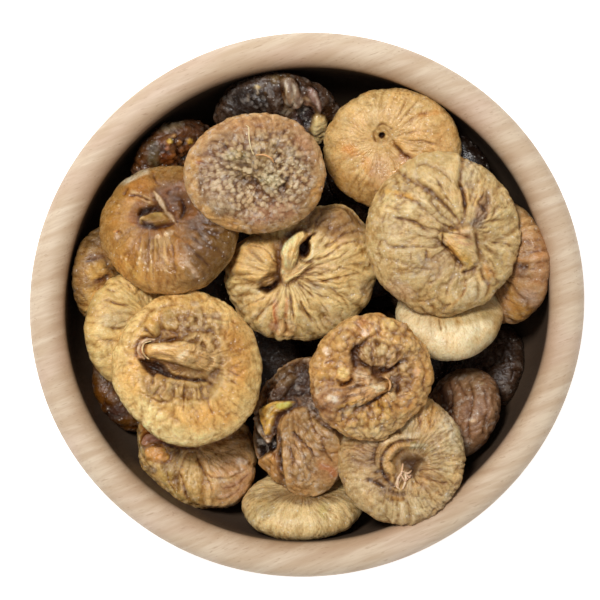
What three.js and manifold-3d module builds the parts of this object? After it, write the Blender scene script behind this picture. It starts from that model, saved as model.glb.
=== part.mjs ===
// A bowl of dried figs: a turned beech bowl, heaped with flat pressed dried figs.
// Lengths are in millimetres, angles in degrees, +Z is up. The origin is under the middle of the foot.
// Directions in the plan are counted from +X towards +Y.

import * as THREE from 'three';
import { mergeVertices } from 'three/addons/utils/BufferGeometryUtils.js';
import Module from 'manifold-3d';

const wasm = await Module();
wasm.setup();

// Driving sizes of the bowl
const RIM_RADIUS = 85;
const BOWL_HEIGHT = 66;
const RIM_WIDTH = 10.8;
const RIM_CROWN = 5.5;
const RIM_FULLNESS = 2.3;
const FOOT_RADIUS = 40;
const FOOT_STEP = 1.2;
const FOOT_HEIGHT = 4;
const FLOOR_THICKNESS = 10;
const INSIDE_FULLNESS = 3;
// The wood shrank across its grain, so the bowl is slightly oval
const GRAIN_DIRECTION = 20.6;
const SHRINKAGE = 0.975;

// Shape shared by all the figs
const EDGE_FULLNESS = 2.5;
const FACE_POWER = 0.95;
const DISH_SPREAD = 0.5;
const UNDER_DISH = 0.6;
const LUMP_PITCH = [5.3, 6.1];
const WANDER = 0.025;

// Rings of hidden figs: how far out they lie, and how far those on the floor climb the wall
const FLOOR_RING = { count: 6, distance: 35, start: 30, climb: 11 };
const INNER_RING = { count: 4, distance: 26, start: 45, climb: 3 };

// Room kept between two pieces that touch, and how far each fig gives way where it is pressed
const CLEARANCE = 0.35;
const GIVE = 2;

// Edges shorter than this are closed up after a cut, the longest that works
const SLIVERS = [0.05, 0.02, 0.01, 0.004];
const WELD = 1e-4;

// Spacing of the height map on which the pile is stacked, and how finely figs are sampled for it
const MAP_STEP = 2;
const MAP_HALF = 48;
const SAMPLES_AROUND = 72;
const SAMPLES_DOWN = 30;

// How many sides and rings the fig solids have, from the best seen to the hidden ones
const FINE = [26, 9];
const MEDIUM = [20, 7];
const PLAIN = [12, 5];
const TUBE_SIDES = 6;
const BOWL_SIDES = 48;

// A fig: place of its middle in plan, radii, thickness, and lean as [direction, angle] of its upper face.
// Two radii make an oval. Eight radii give the outline every 45 degrees, counted from +X.
// necks and slits are tubes on its upper face, as [x, y, lift, radius] along the middle of the tube,
// with x and y from the fig's middle.
function fig(name, at, radii, thick, lean, more = {}) {
  return { name: `fig_${name}`, at, radii, thick, lean, turn: 0, dish: 1, pleat: 0.015, lump: 0.3,
    give: GIVE, necks: [], slits: [], ...more };
}

// Seven figs on the floor of the bowl: one in the middle and six round it, climbing the wall a little
function floorFigs() {
  const { count, distance, start, climb } = FLOOR_RING;
  const figs = [fig('floor_1', [0, 0], [18, 17], 14, [0, 0], { grain: PLAIN })];
  for (let i = 0; i < count; i++) {
    const angle = 360 / count * i + start;
    figs.push(fig(`floor_${i + 2}`, polar(distance, angle), [17.5, 16.5], 14, [angle + 180, climb],
      { turn: 50 * i, grain: PLAIN }));
  }
  return figs;
}

// Four figs in the middle, on those of the floor, and seven that fill the hollows between and round them
function innerFigs() {
  const { count, distance, start, climb } = INNER_RING;
  const figs = [];
  for (let i = 0; i < count; i++) {
    const angle = 360 / count * i + start;
    figs.push(fig(`inner_${i + 1}`, polar(distance, angle), [18, 17.5], 14, [angle + 180, climb],
      { turn: 40 * i, grain: PLAIN }));
  }
  const fillers = [[-1, 7], [0, -38], [-40, 4], [42, 8], [22, 42], [-15, 42], [2, 11]];
  fillers.forEach((place, i) => {
    const name = `inner_${count + 1 + i}`;
    figs.push(fig(name, place, [17, 16], 13, [90 * i, 4], { turn: 70 * i, grain: PLAIN }));
  });
  return figs;
}

// Figs seen in part, low between the others and the wall
const LOWER_FIGS = [
  fig('low_right', [56.5, -20], [15.5, 15], 14, [160, 48], { grain: MEDIUM }),
  fig('low_left_front', [-55, -26], [16, 15], 14, [25, 50], { grain: MEDIUM, pleat: 0.02 }),
  fig('low_right_back', [44.5, 40], [15.5, 15.5], 14, [222, 46], { grain: MEDIUM }),
  fig('standing_right', [48, -34], [16, 15], 15, [155, 58], { grain: MEDIUM, lump: 0.6 }),
  fig('low_left', [-60.5, 9], [16.3, 16.5], 15, [-8, 54], { grain: MEDIUM }),
  fig('low_back', [-9, 59], [20, 16], 14, [268, 46], { grain: MEDIUM, lump: 1.0, pleat: 0.03 }),
  fig('low_back_left', [-40, 44], [16, 15], 14, [312, 46], { grain: MEDIUM, lump: 0.8 }),
  fig('low_front', [-1, -62], [19, 16], 14, [92, 58], { grain: MEDIUM, pleat: 0.025 }),
];

// Figs just under the top ones
const MIDDLE_FIGS = [
  fig('leaning_left', [-53, -8], [17, 18], 15, [5, 30], { grain: MEDIUM, pleat: 0.02, give: 3 }),
  fig('leaning_right', [61, 13], [19.5, 19.5], 15, [188, 56], { grain: MEDIUM, pleat: 0.025, give: 3 }),
  fig('middle_front', [0, -36], [15.5, 17, 20, 17.5, 17.2, 20.5, 23, 19.5], 17, [190, 22], {
    grain: FINE, lump: 1.1, pleat: 0.03,
    necks: [[[-9, 3, -1, 3.4], [-7, 9, 1, 2.6], [-3, 14, 1.5, 1.4]]],
    slits: [[[-7, -14, 0.5, 1.2], [-8, -4, 0.5, 1.6], [-7, 3, 0.5, 1.2]]],
  }),
  fig('middle_front_left', [-35, -47], [19.5, 19, 18, 21.5, 18, 15.4, 17, 20.2], 16, [60, 20], {
    grain: FINE, lump: 0.6, pleat: 0.02,
    slits: [[[-3, -13, 0.2, 0.9], [-4, -4, 0.2, 1.2], [-5, 3, 0.3, 1]]],
  }),
  fig('middle_front_right', [29.9, -46.5], [18.3, 18.8, 20.4, 18.7, 20.7, 21.1, 20.7, 19], 16, [140, 10], {
    grain: FINE, dish: 3,
    necks: [[[8, 5.5, -2, 2.6], [-3, 4, 0, 3], [-6, -1.8, 0.2, 2.6], [-1.8, -5.2, -0.8, 1.1]]],
    slits: [[[5, 1, 1, 2.2], [0.5, -0.5, 1, 2.4], [1.5, -3, 1, 1.6]]],
  }),
  fig('middle_right', [44, -3], [16.5, 17], 15, [95, 40], { grain: MEDIUM, pleat: 0.02, give: 3 }),
  fig('middle_centre', [-1.5, 11.2], [23.2, 24, 18.5, 18.4, 24, 24.5, 22.3, 22.7], 17, [275, 6], {
    grain: FINE, pleat: 0.03, lump: 0.7,
    necks: [[[-6, -3, -1, 3.2], [-4, 5, 0.8, 2.7], [-0.8, 9.8, 1.6, 2], [2, 10.6, 0.6, 1]]],
    slits: [
      [[1, 6.5, 0, 1.5], [0.4, 4, 0, 1.2]],
      [[-12, -7, 0.8, 1.1], [-9, -6.5, 0.8, 1.3]],
    ],
  }),
  fig('middle_back_right', [26.2, 47.8], [21.5, 18.6], 17, [235, 9], {
    grain: FINE, dish: 2,
    slits: [[[-3.4, 4, 1.2, 1.2], [-1, 0.5, 1, 0.8], [4, -3, 0.8, 0.6]]],
  }),
  fig('middle_left', [-42.4, 23.4], [22, 21, 19.5, 20.8, 21.7, 20.3, 20.8, 21.9], 19, [130, 16], {
    grain: FINE, dish: 2.5, pleat: 0.02,
    necks: [[[0.5, 5, -1.5, 2.3], [-6, 1.5, 0, 1.6]]],
    slits: [[[6, 5, 1, 1.3], [-1, 1.6, 1, 1.6], [-8, 0, 1, 1.2]]],
  }),
];

// Figs on top of the heap
const TOP_FIGS = [
  fig('top_front', [19.2, -21.8], [18.9, 18.6, 19.2, 18.6, 18.6, 19.2, 19.5, 17.5], 15, [300, 6], {
    grain: FINE, dish: 2.5, lump: 1.1, pleat: 0.03,
    necks: [[[-11, -8, -2, 3.4], [-3, -4.8, 0.4, 2.8], [4.4, -2, 1.4, 1.5]]],
    slits: [
      [[8, 3, 0.8, 1.6], [5, -0.4, 0.8, 1.4], [2, -5, 0.8, 1]],
      [[-5, 7, 0.8, 1.3], [-3, 4, 0.8, 1]],
    ],
  }),
  fig('top_left', [-36.6, -19.3], [22.9, 22.9, 23.8, 22.7, 23.2, 22.1, 24.1, 24.2], 16, [60, 6], {
    grain: FINE, dish: 2, pleat: 0.02, lump: 0.5,
    necks: [[[12, 0, -2.4, 4.6], [1, 3.6, 0.2, 4], [-8, 4.8, 1.2, 2.6], [-13.6, 5.2, 0.8, 1.6]]],
    slits: [[[-12, 1.5, 1.2, 1.5], [-3, -1.5, 1.2, 2], [5, -5, 1.2, 1.3], [10, -5, 0.8, 0.9]]],
  }),
  fig('top_right', [41.2, 21.3], [23.5, 23.8, 24.9, 23.9, 23.5, 24, 24.9, 24], 16, [200, 4], {
    grain: FINE, dish: 1, pleat: 0.015, lump: 0.5,
    necks: [[[11.5, -8.6, -2.6, 5], [5.5, -3.6, 0, 3.6], [0.2, -0.6, 0.8, 1.4]]],
    slits: [
      [[6, 13, 1, 0.9], [5.6, 7, 1, 1], [8, 3, 1, 1.3]],
      [[0, -2.5, 0.6, 0.8], [7, -12, 0.8, 0.8]],
    ],
  }),
  fig('top_back', [-15.6, 39.6], [21.2, 18.6], 14, [255, 5], {
    grain: FINE, dish: 0.8, lump: 0.6, pleat: 0.01,
    slits: [[[1.5, 3, 0.4, 0.8], [3.5, 2, 0.4, 0.7]]],
  }),
];

function radians(degrees) {
  return THREE.MathUtils.degToRad(degrees);
}

function polar(distance, direction) {
  return [distance * Math.cos(radians(direction)), distance * Math.sin(radians(direction))];
}

// A number from -1 to 1 that depends only on the name and the index
function chance(name, index) {
  const start = 2166136261;
  const step = 16777619;
  let mixed = start ^ index;
  for (const letter of name) {
    mixed = Math.imul(mixed ^ letter.charCodeAt(0), step);
    mixed ^= mixed >>> 13;
  }
  return ((mixed >>> 0) % 2001) / 1000 - 1;
}

// Outline radius of a fig in a direction of its own plan, with a slight wander
function outline(shape, angle) {
  const wander = WANDER * (chance(shape.name, 1) * Math.cos(2 * angle + 3 * chance(shape.name, 2))
    + chance(shape.name, 3) * Math.cos(3 * angle + 3 * chance(shape.name, 4)));
  if (shape.radii.length === 2) {
    const [along, across] = shape.radii;
    const oval = along * across / Math.hypot(across * Math.cos(angle), along * Math.sin(angle));
    return oval * (1 + wander);
  }
  const count = shape.radii.length;
  const place = (angle / (2 * Math.PI) % 1 + 1) % 1 * count;
  const before = Math.floor(place) % count;
  const blend = (1 - Math.cos(Math.PI * (place % 1))) / 2;
  return THREE.MathUtils.lerp(shape.radii[before], shape.radii[(before + 1) % count], blend);
}

// Height of the upper or lower face above the fig's middle plane.
// side is 1 for the upper face and -1 for the lower one, reach is 0 in the middle and 1 at the edge.
function faceHeight(shape, angle, reach, side) {
  const crown = Math.sqrt(Math.max(0, 1 - Math.pow(reach, EDGE_FULLNESS)));
  const body = side * shape.thick / 2 * Math.pow(crown, FACE_POWER);
  const dish = shape.dish * (side > 0 ? 1 : UNDER_DISH) * Math.exp(-Math.pow(reach / DISH_SPREAD, 2));
  const across = LUMP_PITCH[0] * reach * Math.cos(angle) + Math.PI * chance(shape.name, 5);
  const along = LUMP_PITCH[1] * reach * Math.sin(angle) + Math.PI * chance(shape.name, 6);
  return body - side * dish + shape.lump * crown * Math.sin(across) * Math.sin(along);
}

// A point of the fig's skin. around and down run from 0 to 1, down from the top to the underside.
function skinPoint(shape, around, down, pleats) {
  const angle = 2 * Math.PI * around;
  const slope = Math.PI * down;
  const reach = Math.pow(Math.sin(slope), 2 / EDGE_FULLNESS);
  const pleat = 1 + shape.pleat * Math.cos(pleats * angle) * reach;
  const radius = outline(shape, angle) * Math.min(reach, 1) * pleat;
  const height = faceHeight(shape, angle, Math.min(reach, 1), Math.cos(slope) < 0 ? -1 : 1);
  return new THREE.Vector3(radius * Math.cos(angle), radius * Math.sin(angle), height);
}

// Height of the fig's upper face over a point of its plan
function topOver(shape, x, y) {
  const angle = Math.atan2(y, x);
  const reach = Math.min(1, Math.hypot(x, y) / outline(shape, angle));
  return faceHeight(shape, angle, reach, 1);
}

// A closed surface of rings between two end points
function ringedGeometry(rings, first, last) {
  const sides = rings[0].length;
  const points = [first, ...rings.flat(), last];
  const faces = [];
  for (let i = 0; i < sides; i++) {
    const next = (i + 1) % sides;
    faces.push(0, 1 + i, 1 + next);
    for (let j = 0; j + 1 < rings.length; j++) {
      const a = 1 + j * sides + i;
      const b = 1 + j * sides + next;
      faces.push(a, a + sides, b + sides, a, b + sides, b);
    }
    const base = 1 + (rings.length - 1) * sides;
    faces.push(points.length - 1, base + next, base + i);
  }
  const numbers = points.flatMap((point) => [point.x, point.y, point.z]);
  const geometry = new THREE.BufferGeometry();
  geometry.setAttribute('position', new THREE.Float32BufferAttribute(numbers, 3));
  geometry.setIndex(faces);
  return geometry;
}

// The fig's body without neck or slits, lying flat at the origin
function bodyGeometry(shape) {
  const [sides, levels] = shape.grain;
  const rings = [];
  for (let j = 1; j < levels; j++) {
    const ring = [];
    for (let i = 0; i < sides; i++) {
      ring.push(skinPoint(shape, i / sides, j / levels, sides / 2));
    }
    rings.push(ring);
  }
  const top = skinPoint(shape, 0, 0, 0);
  const bottom = skinPoint(shape, 0, 1, 0);
  return ringedGeometry(rings, top, bottom);
}

// A tapering tube over the fig's upper face, through points given as [x, y, lift, radius]
function tubeGeometry(shape, route) {
  const spots = route.map(([x, y, lift]) => new THREE.Vector3(x, y, topOver(shape, x, y) + lift));
  const path = new THREE.CatmullRomCurve3(spots);
  const steps = route.length === 2 ? 2 : 2 * (route.length - 1);
  const rings = [];
  const up = new THREE.Vector3(0, 0, 1);
  for (let j = 0; j <= steps; j++) {
    const along = j / steps;
    const forward = path.getTangent(along);
    const side = new THREE.Vector3().crossVectors(up, forward).normalize();
    const over = new THREE.Vector3().crossVectors(side, forward);
    const place = along * (route.length - 1);
    const before = Math.min(Math.floor(place), route.length - 2);
    const radius = THREE.MathUtils.lerp(route[before][3], route[before + 1][3], place - before);
    const middle = path.getPoint(along);
    const ring = [];
    for (let i = 0; i < TUBE_SIDES; i++) {
      const turn = 2 * Math.PI * i / TUBE_SIDES;
      ring.push(middle.clone().addScaledVector(side, radius * Math.cos(turn))
        .addScaledVector(over, radius * Math.sin(turn)));
    }
    rings.push(ring);
  }
  const tip = route[route.length - 1][3] / 2;
  const start = path.getPoint(0).addScaledVector(path.getTangent(0), -route[0][3] / 2);
  const end = path.getPoint(1).addScaledVector(path.getTangent(1), tip);
  return ringedGeometry(rings, start, end);
}

function solidOf(geometry) {
  const bare = geometry.clone();
  bare.deleteAttribute('normal');
  bare.deleteAttribute('uv');
  const merged = mergeVertices(bare, WELD);
  const mesh = new wasm.Mesh({
    numProp: 3,
    vertProperties: new Float32Array(merged.attributes.position.array),
    triVerts: new Uint32Array(merged.index.array),
  });
  return new wasm.Manifold(mesh);
}

// The largest separate body of a solid
function wholeOf(solid) {
  const bodies = solid.decompose();
  return bodies.reduce((best, body) => (body.volume() > best.volume() ? body : best));
}

// The same body with the slivers left by cutting closed up, where that keeps it closed
function tidied(solid) {
  for (const tolerance of SLIVERS) {
    const merged = mergeVertices(geometryOf(solid), tolerance);
    const corners = merged.index.array;
    const kept = [];
    for (let i = 0; i < corners.length; i += 3) {
      const [a, b, c] = corners.slice(i, i + 3);
      if (a !== b && b !== c && a !== c) {
        kept.push(a, b, c);
      }
    }
    merged.setIndex(kept);
    try {
      return solidOf(merged);
    } catch {
      continue;
    }
  }
  return solid;
}

function geometryOf(solid) {
  const mesh = solid.getMesh();
  const geometry = new THREE.BufferGeometry();
  geometry.setAttribute('position', new THREE.BufferAttribute(mesh.vertProperties, 3));
  geometry.setIndex(new THREE.BufferAttribute(mesh.triVerts, 1));
  return geometry;
}

// The same surface pushed outwards by a distance
function swollen(geometry, distance) {
  const bare = geometry.clone().deleteAttribute('uv').deleteAttribute('normal');
  const grown = mergeVertices(bare, WELD);
  grown.computeVertexNormals();
  const { position, normal } = grown.attributes;
  for (let i = 0; i < position.count; i++) {
    position.setXYZ(i, position.getX(i) + distance * normal.getX(i),
      position.getY(i) + distance * normal.getY(i), position.getZ(i) + distance * normal.getZ(i));
  }
  grown.deleteAttribute('normal');
  return grown;
}

// Turns a fig from lying flat to its lean, with its upper face leaning towards the lean's direction
function placement(shape, height) {
  const direction = radians(shape.lean[0]);
  const axis = new THREE.Vector3(-Math.sin(direction), Math.cos(direction), 0);
  const leaned = new THREE.Matrix4().makeRotationAxis(axis, radians(shape.lean[1]));
  const turned = new THREE.Matrix4().makeRotationZ(radians(shape.turn));
  const raised = new THREE.Matrix4().makeTranslation(shape.at[0], shape.at[1], height);
  return raised.multiply(leaned).multiply(turned);
}

// Outside, rim and inside of the bowl as one closed half section, from the axis below to the axis above
function bowlSection() {
  const points = [new THREE.Vector2(0, 0), new THREE.Vector2(FOOT_RADIUS - FOOT_STEP, 0)];
  const rimMiddle = RIM_RADIUS - RIM_WIDTH / 2;
  const rimBase = BOWL_HEIGHT - RIM_CROWN;
  const outsideSteps = 6;
  for (let i = 0; i < outsideSteps; i++) {
    const swing = Math.PI / 2 * i / outsideSteps;
    const radius = FOOT_RADIUS + (RIM_RADIUS - FOOT_RADIUS) * Math.sin(swing);
    points.push(new THREE.Vector2(radius, FOOT_HEIGHT + (rimBase - FOOT_HEIGHT) * (1 - Math.cos(swing))));
  }
  const rimSteps = 8;
  for (let i = 0; i <= rimSteps; i++) {
    const swing = Math.PI * i / rimSteps;
    const side = Math.sign(Math.cos(swing)) * Math.pow(Math.abs(Math.cos(swing)), 2 / RIM_FULLNESS);
    const rise = Math.pow(Math.sin(swing), 2 / RIM_FULLNESS);
    points.push(new THREE.Vector2(rimMiddle + RIM_WIDTH / 2 * side, rimBase + RIM_CROWN * rise));
  }
  const insideSteps = 6;
  for (let i = 1; i < insideSteps; i++) {
    const swing = Math.PI / 2 * i / insideSteps;
    const radius = (RIM_RADIUS - RIM_WIDTH) * Math.pow(Math.cos(swing), 2 / INSIDE_FULLNESS);
    const depth = (rimBase - FLOOR_THICKNESS) * Math.pow(Math.sin(swing), 2 / INSIDE_FULLNESS);
    points.push(new THREE.Vector2(radius, rimBase - depth));
  }
  points.push(new THREE.Vector2(0, FLOOR_THICKNESS));
  return points;
}

function bowlGeometry() {
  const lathe = new THREE.LatheGeometry(bowlSection(), BOWL_SIDES);
  lathe.rotateX(Math.PI / 2);
  lathe.scale(1, SHRINKAGE, 1);
  lathe.rotateZ(radians(GRAIN_DIRECTION));
  return lathe;
}

// Height of the bowl's inside, or of its rim, over a point of the plan
function bowlHeight(x, y) {
  const turn = radians(GRAIN_DIRECTION);
  const along = x * Math.cos(turn) + y * Math.sin(turn);
  const across = (y * Math.cos(turn) - x * Math.sin(turn)) / SHRINKAGE;
  const distance = Math.hypot(along, across);
  const inner = RIM_RADIUS - RIM_WIDTH;
  const rimBase = BOWL_HEIGHT - RIM_CROWN;
  if (distance >= inner) {
    const offset = Math.min(1, Math.abs(distance - inner - RIM_WIDTH / 2) / (RIM_WIDTH / 2));
    return rimBase + RIM_CROWN * Math.pow(1 - Math.pow(offset, RIM_FULLNESS), 1 / RIM_FULLNESS);
  }
  const drop = Math.pow(1 - Math.pow(distance / inner, INSIDE_FULLNESS), 1 / INSIDE_FULLNESS);
  return rimBase - (rimBase - FLOOR_THICKNESS) * drop;
}

// The height map of the pile: one height for each square of the plan
function emptyMap() {
  const size = 2 * MAP_HALF + 1;
  return new Float64Array(size * size).fill(-Infinity);
}

function cellOf(point) {
  const size = 2 * MAP_HALF + 1;
  return (Math.round(point.y / MAP_STEP) + MAP_HALF) * size + Math.round(point.x / MAP_STEP) + MAP_HALF;
}

// Lets a fig down onto the pile until the firm part of it touches, and adds it to the map.
// Returns the height of the fig's middle.
function settle(shape, heights) {
  const firm = { ...shape, radii: shape.radii.map((radius) => radius - shape.give),
    thick: shape.thick - 2 * shape.give };
  const turned = placement(shape, 0);
  const points = [];
  for (let j = 0; j <= SAMPLES_DOWN; j++) {
    for (let i = 0; i < SAMPLES_AROUND; i++) {
      points.push(skinPoint(firm, i / SAMPLES_AROUND, j / SAMPLES_DOWN, 0).applyMatrix4(turned));
    }
  }
  let height = -Infinity;
  for (const point of points) {
    height = Math.max(height, heights[cellOf(point)] - point.z, bowlHeight(point.x, point.y) - point.z);
  }
  for (const point of points) {
    const cell = cellOf(point);
    heights[cell] = Math.max(heights[cell], point.z + height);
  }
  return height;
}

// Fig solid with its neck and slits, in place
function figSolid(shape, height) {
  let solid = solidOf(bodyGeometry(shape));
  for (const route of shape.slits) {
    solid = solid.subtract(solidOf(tubeGeometry(shape, route)));
  }
  for (const route of shape.necks) {
    solid = solid.add(solidOf(tubeGeometry(shape, route)));
  }
  return solidOf(geometryOf(tidied(wholeOf(solid))).applyMatrix4(placement(shape, height)));
}

// What has to stay clear of the fig's skin and necks, as separate solids
function swollenPieces(shape, height) {
  const pieces = [bodyGeometry(shape), ...shape.necks.map((route) => tubeGeometry(shape, route))];
  return pieces.map((piece) => solidOf(swollen(piece.applyMatrix4(placement(shape, height)), CLEARANCE)));
}

function boxesMeet(a, b) {
  return [0, 1, 2].every((axis) => a.min[axis] < b.max[axis] && b.min[axis] < a.max[axis]);
}

function woodMaterial() {
  return new THREE.MeshStandardMaterial({ color: 0xd8bd9c, roughness: 0.62, metalness: 0 });
}

// Fig skins go from pale straw to dark brown
const SKINS = { pale: 0xe2c896, golden: 0xd6a763, amber: 0xb98446, brown: 0x8f6a45, dark: 0x4a3024 };
const SKIN_OF = {
  fig_top_back: 'brown',
  fig_top_right: 'pale',
  fig_top_left: 'golden',
  fig_top_front: 'amber',
  fig_middle_back_right: 'golden',
  fig_middle_left: 'amber',
  fig_middle_centre: 'pale',
  fig_middle_front_right: 'pale',
  fig_middle_front_left: 'amber',
  fig_middle_front: 'dark',
  fig_middle_right: 'pale',
  fig_leaning_right: 'brown',
  fig_leaning_left: 'pale',
  fig_standing_right: 'brown',
  fig_low_front: 'pale',
  fig_low_back: 'dark',
  fig_low_back_left: 'dark',
};

function skinMaterial(name) {
  const color = SKINS[SKIN_OF[name] ?? 'amber'];
  return new THREE.MeshStandardMaterial({ color, roughness: 0.55, metalness: 0 });
}

function namedMesh(name, geometry, material) {
  const mesh = new THREE.Mesh(geometry, material);
  mesh.name = name;
  return mesh;
}

// Stacks the figs from the floor up. Each one is cut clear of the bowl and of the figs it lies on.
function pile(bowl) {
  const heights = emptyMap();
  const placed = [solidOf(swollen(bowl, CLEARANCE))];
  const figs = [...floorFigs(), ...innerFigs(), ...LOWER_FIGS, ...MIDDLE_FIGS, ...TOP_FIGS];
  return figs.map((shape) => {
    const height = settle(shape, heights);
    let solid = figSolid(shape, height);
    for (const other of placed) {
      if (boxesMeet(solid.boundingBox(), other.boundingBox())) {
        solid = solid.subtract(other);
      }
    }
    solid = tidied(wholeOf(solid));
    placed.push(...swollenPieces(shape, height));
    return namedMesh(shape.name, geometryOf(solid), skinMaterial(shape.name));
  });
}

const group = new THREE.Group();
const bowl = bowlGeometry();
group.add(namedMesh('bowl', geometryOf(solidOf(bowl)), woodMaterial()));
group.add(...pile(bowl));

export default group;
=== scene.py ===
# A bowl of dried figs: a turned beech bowl heaped with flat pressed dried figs, seen from straight above.
# The figs' skins repeat the solid model's formula and add ribs, creases, grains and colour.
# Lengths are in millimetres and angles in degrees until a mesh is made; Blender's own are in metres.

import math

import bpy
import numpy as np
from mathutils import Matrix, Vector


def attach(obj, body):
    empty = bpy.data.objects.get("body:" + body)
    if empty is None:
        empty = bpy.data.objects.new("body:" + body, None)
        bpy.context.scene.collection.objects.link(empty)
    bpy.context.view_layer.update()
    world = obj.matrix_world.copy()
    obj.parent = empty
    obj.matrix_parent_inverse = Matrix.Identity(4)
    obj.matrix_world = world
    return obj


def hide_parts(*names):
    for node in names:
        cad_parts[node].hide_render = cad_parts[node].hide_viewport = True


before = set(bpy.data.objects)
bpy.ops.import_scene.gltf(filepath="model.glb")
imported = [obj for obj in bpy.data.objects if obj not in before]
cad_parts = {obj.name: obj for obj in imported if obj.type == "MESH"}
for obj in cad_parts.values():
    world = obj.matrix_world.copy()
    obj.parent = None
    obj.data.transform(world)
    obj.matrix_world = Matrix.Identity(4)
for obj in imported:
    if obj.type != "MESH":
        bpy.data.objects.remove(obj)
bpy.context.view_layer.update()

MM = 0.001

# The bowl, as in the solid model
RIM_RADIUS = 85
BOWL_HEIGHT = 66
RIM_WIDTH = 10.8
RIM_CROWN = 5.5
RIM_FULLNESS = 2.3
FOOT_RADIUS = 40
FOOT_STEP = 1.2
FOOT_HEIGHT = 4
FLOOR_THICKNESS = 10
INSIDE_FULLNESS = 3
# The wood shrank across its grain, so the bowl is slightly oval
GRAIN_DIRECTION = 20.6
SHRINKAGE = 0.975

# Points round the bowl, and along its outside, its rim and its inside
BOWL_SIDES = 256
OUTSIDE_STEPS = 25
RIM_STEPS = 41
INSIDE_STEPS = 29

# The figs' common shape, as in the solid model
EDGE_FULLNESS = 2.5
FACE_POWER = 0.95
DISH_SPREAD = 0.5
UNDER_DISH = 0.6
LUMP_PITCH = (5.3, 6.1)
WANDER = 0.025
FINE = (26, 9)
MEDIUM = (20, 7)
PLAIN = (12, 5)

# Rings of hidden figs, as in the solid model: how far out they lie and how steeply they climb the wall
FLOOR_RING = dict(count=6, distance=35, start=30, climb=11)
INNER_RING = dict(count=4, distance=26, start=45, climb=3)

# Points around, rings on the upper face and rings below, from the best seen figs to the hidden ones
MESH_OF_GRAIN = {FINE: (264, 84, 18), MEDIUM: (180, 54, 14), PLAIN: (40, 12, 8)}
# The share of the way from the top to below over which the finer rings are spread, just past the edge
TURNING = 0.54
# The solid model's pleats are held back to this share on the skin, which has ribs of its own
SKIN_PLEAT = 0.35
# Size, depth and shade of the smallest wrinkles, on the figs that are seen best
FINE_WRINKLES = (1.2, 0.2, 0.1)

# Necks: how deep their start is sunk in the skin, and how high their flutes and their roughness stand
NECK_SINK = 2.3
NECK_FLUTES = 0.9
NECK_ROUGHNESS = 0.4

# How far round a point its hollows are judged, how deep they are when full, and what each counts for
NEAR_HOLLOWS = (0.9, 0.45, 0.55)
WIDE_HOLLOWS = (3, 1.2, 0.6)

# Painted shade in grooves and creases: how much it darkens red, green and blue; and how much ridges gain as
# painted highlight
PAINTED_GROOVE_SHADE = (0.85, 1.15, 1.6)
PAINTED_CREASE_SHADE = (1.7, 2.5, 3.7)
PAINTED_RIDGE_LIGHT = (0.4, 0.44, 0.48)
# How much the ribs and crinkles count beside the hollows in the painted shade and highlight
RELIEF_SHADE_SHARE = 0.35
# How floury the thin threads are that lie on some figs
THREAD_BLOOM = 0.2

# The honey tint that all the skins share
HONEY = (0.98, 0.96, 0.88)

# Colours as they look in even light, red, green and blue up to 255
STRAW = (218, 190, 136)
CREAM = (236, 213, 165)
MAUVE = (160, 122, 98)
UMBER = (78, 52, 34)
PLUM = (62, 42, 38)
BLACK = (14, 9, 7)
ORANGE = (218, 152, 76)
RUST = (186, 108, 66)
PINK = (205, 164, 134)


def chance(name, index):
    """A number from -1 to 1 that depends only on the name and the index."""
    mixed = 2166136261 ^ index
    for letter in name:
        mixed = ((mixed ^ ord(letter)) * 16777619) & 0xFFFFFFFF
        mixed ^= mixed >> 13
    return (mixed % 2001) / 1000 - 1


def polar(distance, direction):
    return (distance * math.cos(math.radians(direction)), distance * math.sin(math.radians(direction)))


def smooth(low, high, value):
    share = np.clip((value - low) / (high - low), 0, 1)
    return share * share * (3 - 2 * share)


def scrambled(cells, seed):
    """A random 32-bit number for each whole cell (n, 3)."""
    whole = cells.astype(np.int64)
    mixed = whole[:, 0] * 0x8DA6B343 + whole[:, 1] * 0xD8163841 + whole[:, 2] * 0xCB1AB31F
    mixed = mixed + seed * 0x9E3779B1
    mixed = mixed.astype(np.uint32)
    mixed ^= mixed >> np.uint32(15)
    mixed *= np.uint32(0x2C1B3C6D)
    mixed ^= mixed >> np.uint32(12)
    mixed *= np.uint32(0x297A2D39)
    mixed ^= mixed >> np.uint32(15)
    return mixed


def noise(points, seed):
    """Smooth noise from about -1 to 1, with bumps about one unit wide."""
    base = np.floor(points)
    offset = points - base
    blend = offset**3 * (offset * (offset * 6 - 15) + 10)
    total = np.zeros(len(points))
    for corner in np.ndindex(2, 2, 2):
        shift = np.array(corner, float)
        mixed = scrambled(base + shift, seed)
        slope = np.stack([(mixed >> np.uint32(10 * k)) & np.uint32(1023) for k in range(3)], 1) / 511.5 - 1
        weight = np.prod(np.where(shift > 0, blend, 1 - blend), axis=1)
        total += weight * np.sum(slope * (offset - shift), axis=1)
    return total * 1.4


def grains(points, seed):
    """Distance to the nearest of scattered points, one a cell, and that point's own number from 0 to 1."""
    base = np.floor(points)
    nearest = np.full(len(points), 9.0)
    value = np.zeros(len(points))
    for step in np.ndindex(3, 3, 3):
        cell = base + np.array(step) - 1
        mixed = scrambled(cell, seed)
        spot = np.stack([(mixed >> np.uint32(10 * k)) & np.uint32(1023) for k in range(3)], 1) / 1023
        gap = np.linalg.norm(cell + spot - points, axis=1)
        closer = gap < nearest
        nearest = np.where(closer, gap, nearest)
        value = np.where(closer, (mixed % np.uint32(997)) / 996, value)
    return nearest, value


def linear(colour):
    share = np.array(colour, float) / 255
    return np.where(share <= 0.04045, share / 12.92, ((share + 0.055) / 1.055) ** 2.4)


def folded(wave):
    """Rounded ridges with sharp creases between them, made from smooth noise."""
    return np.minimum(1, np.abs(wave) / 0.5) ** 0.6


def crease_line(wave):
    """1 in the creases of folded noise, and 0 a little beside them."""
    return np.exp(-((wave / 0.06) ** 2))


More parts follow.
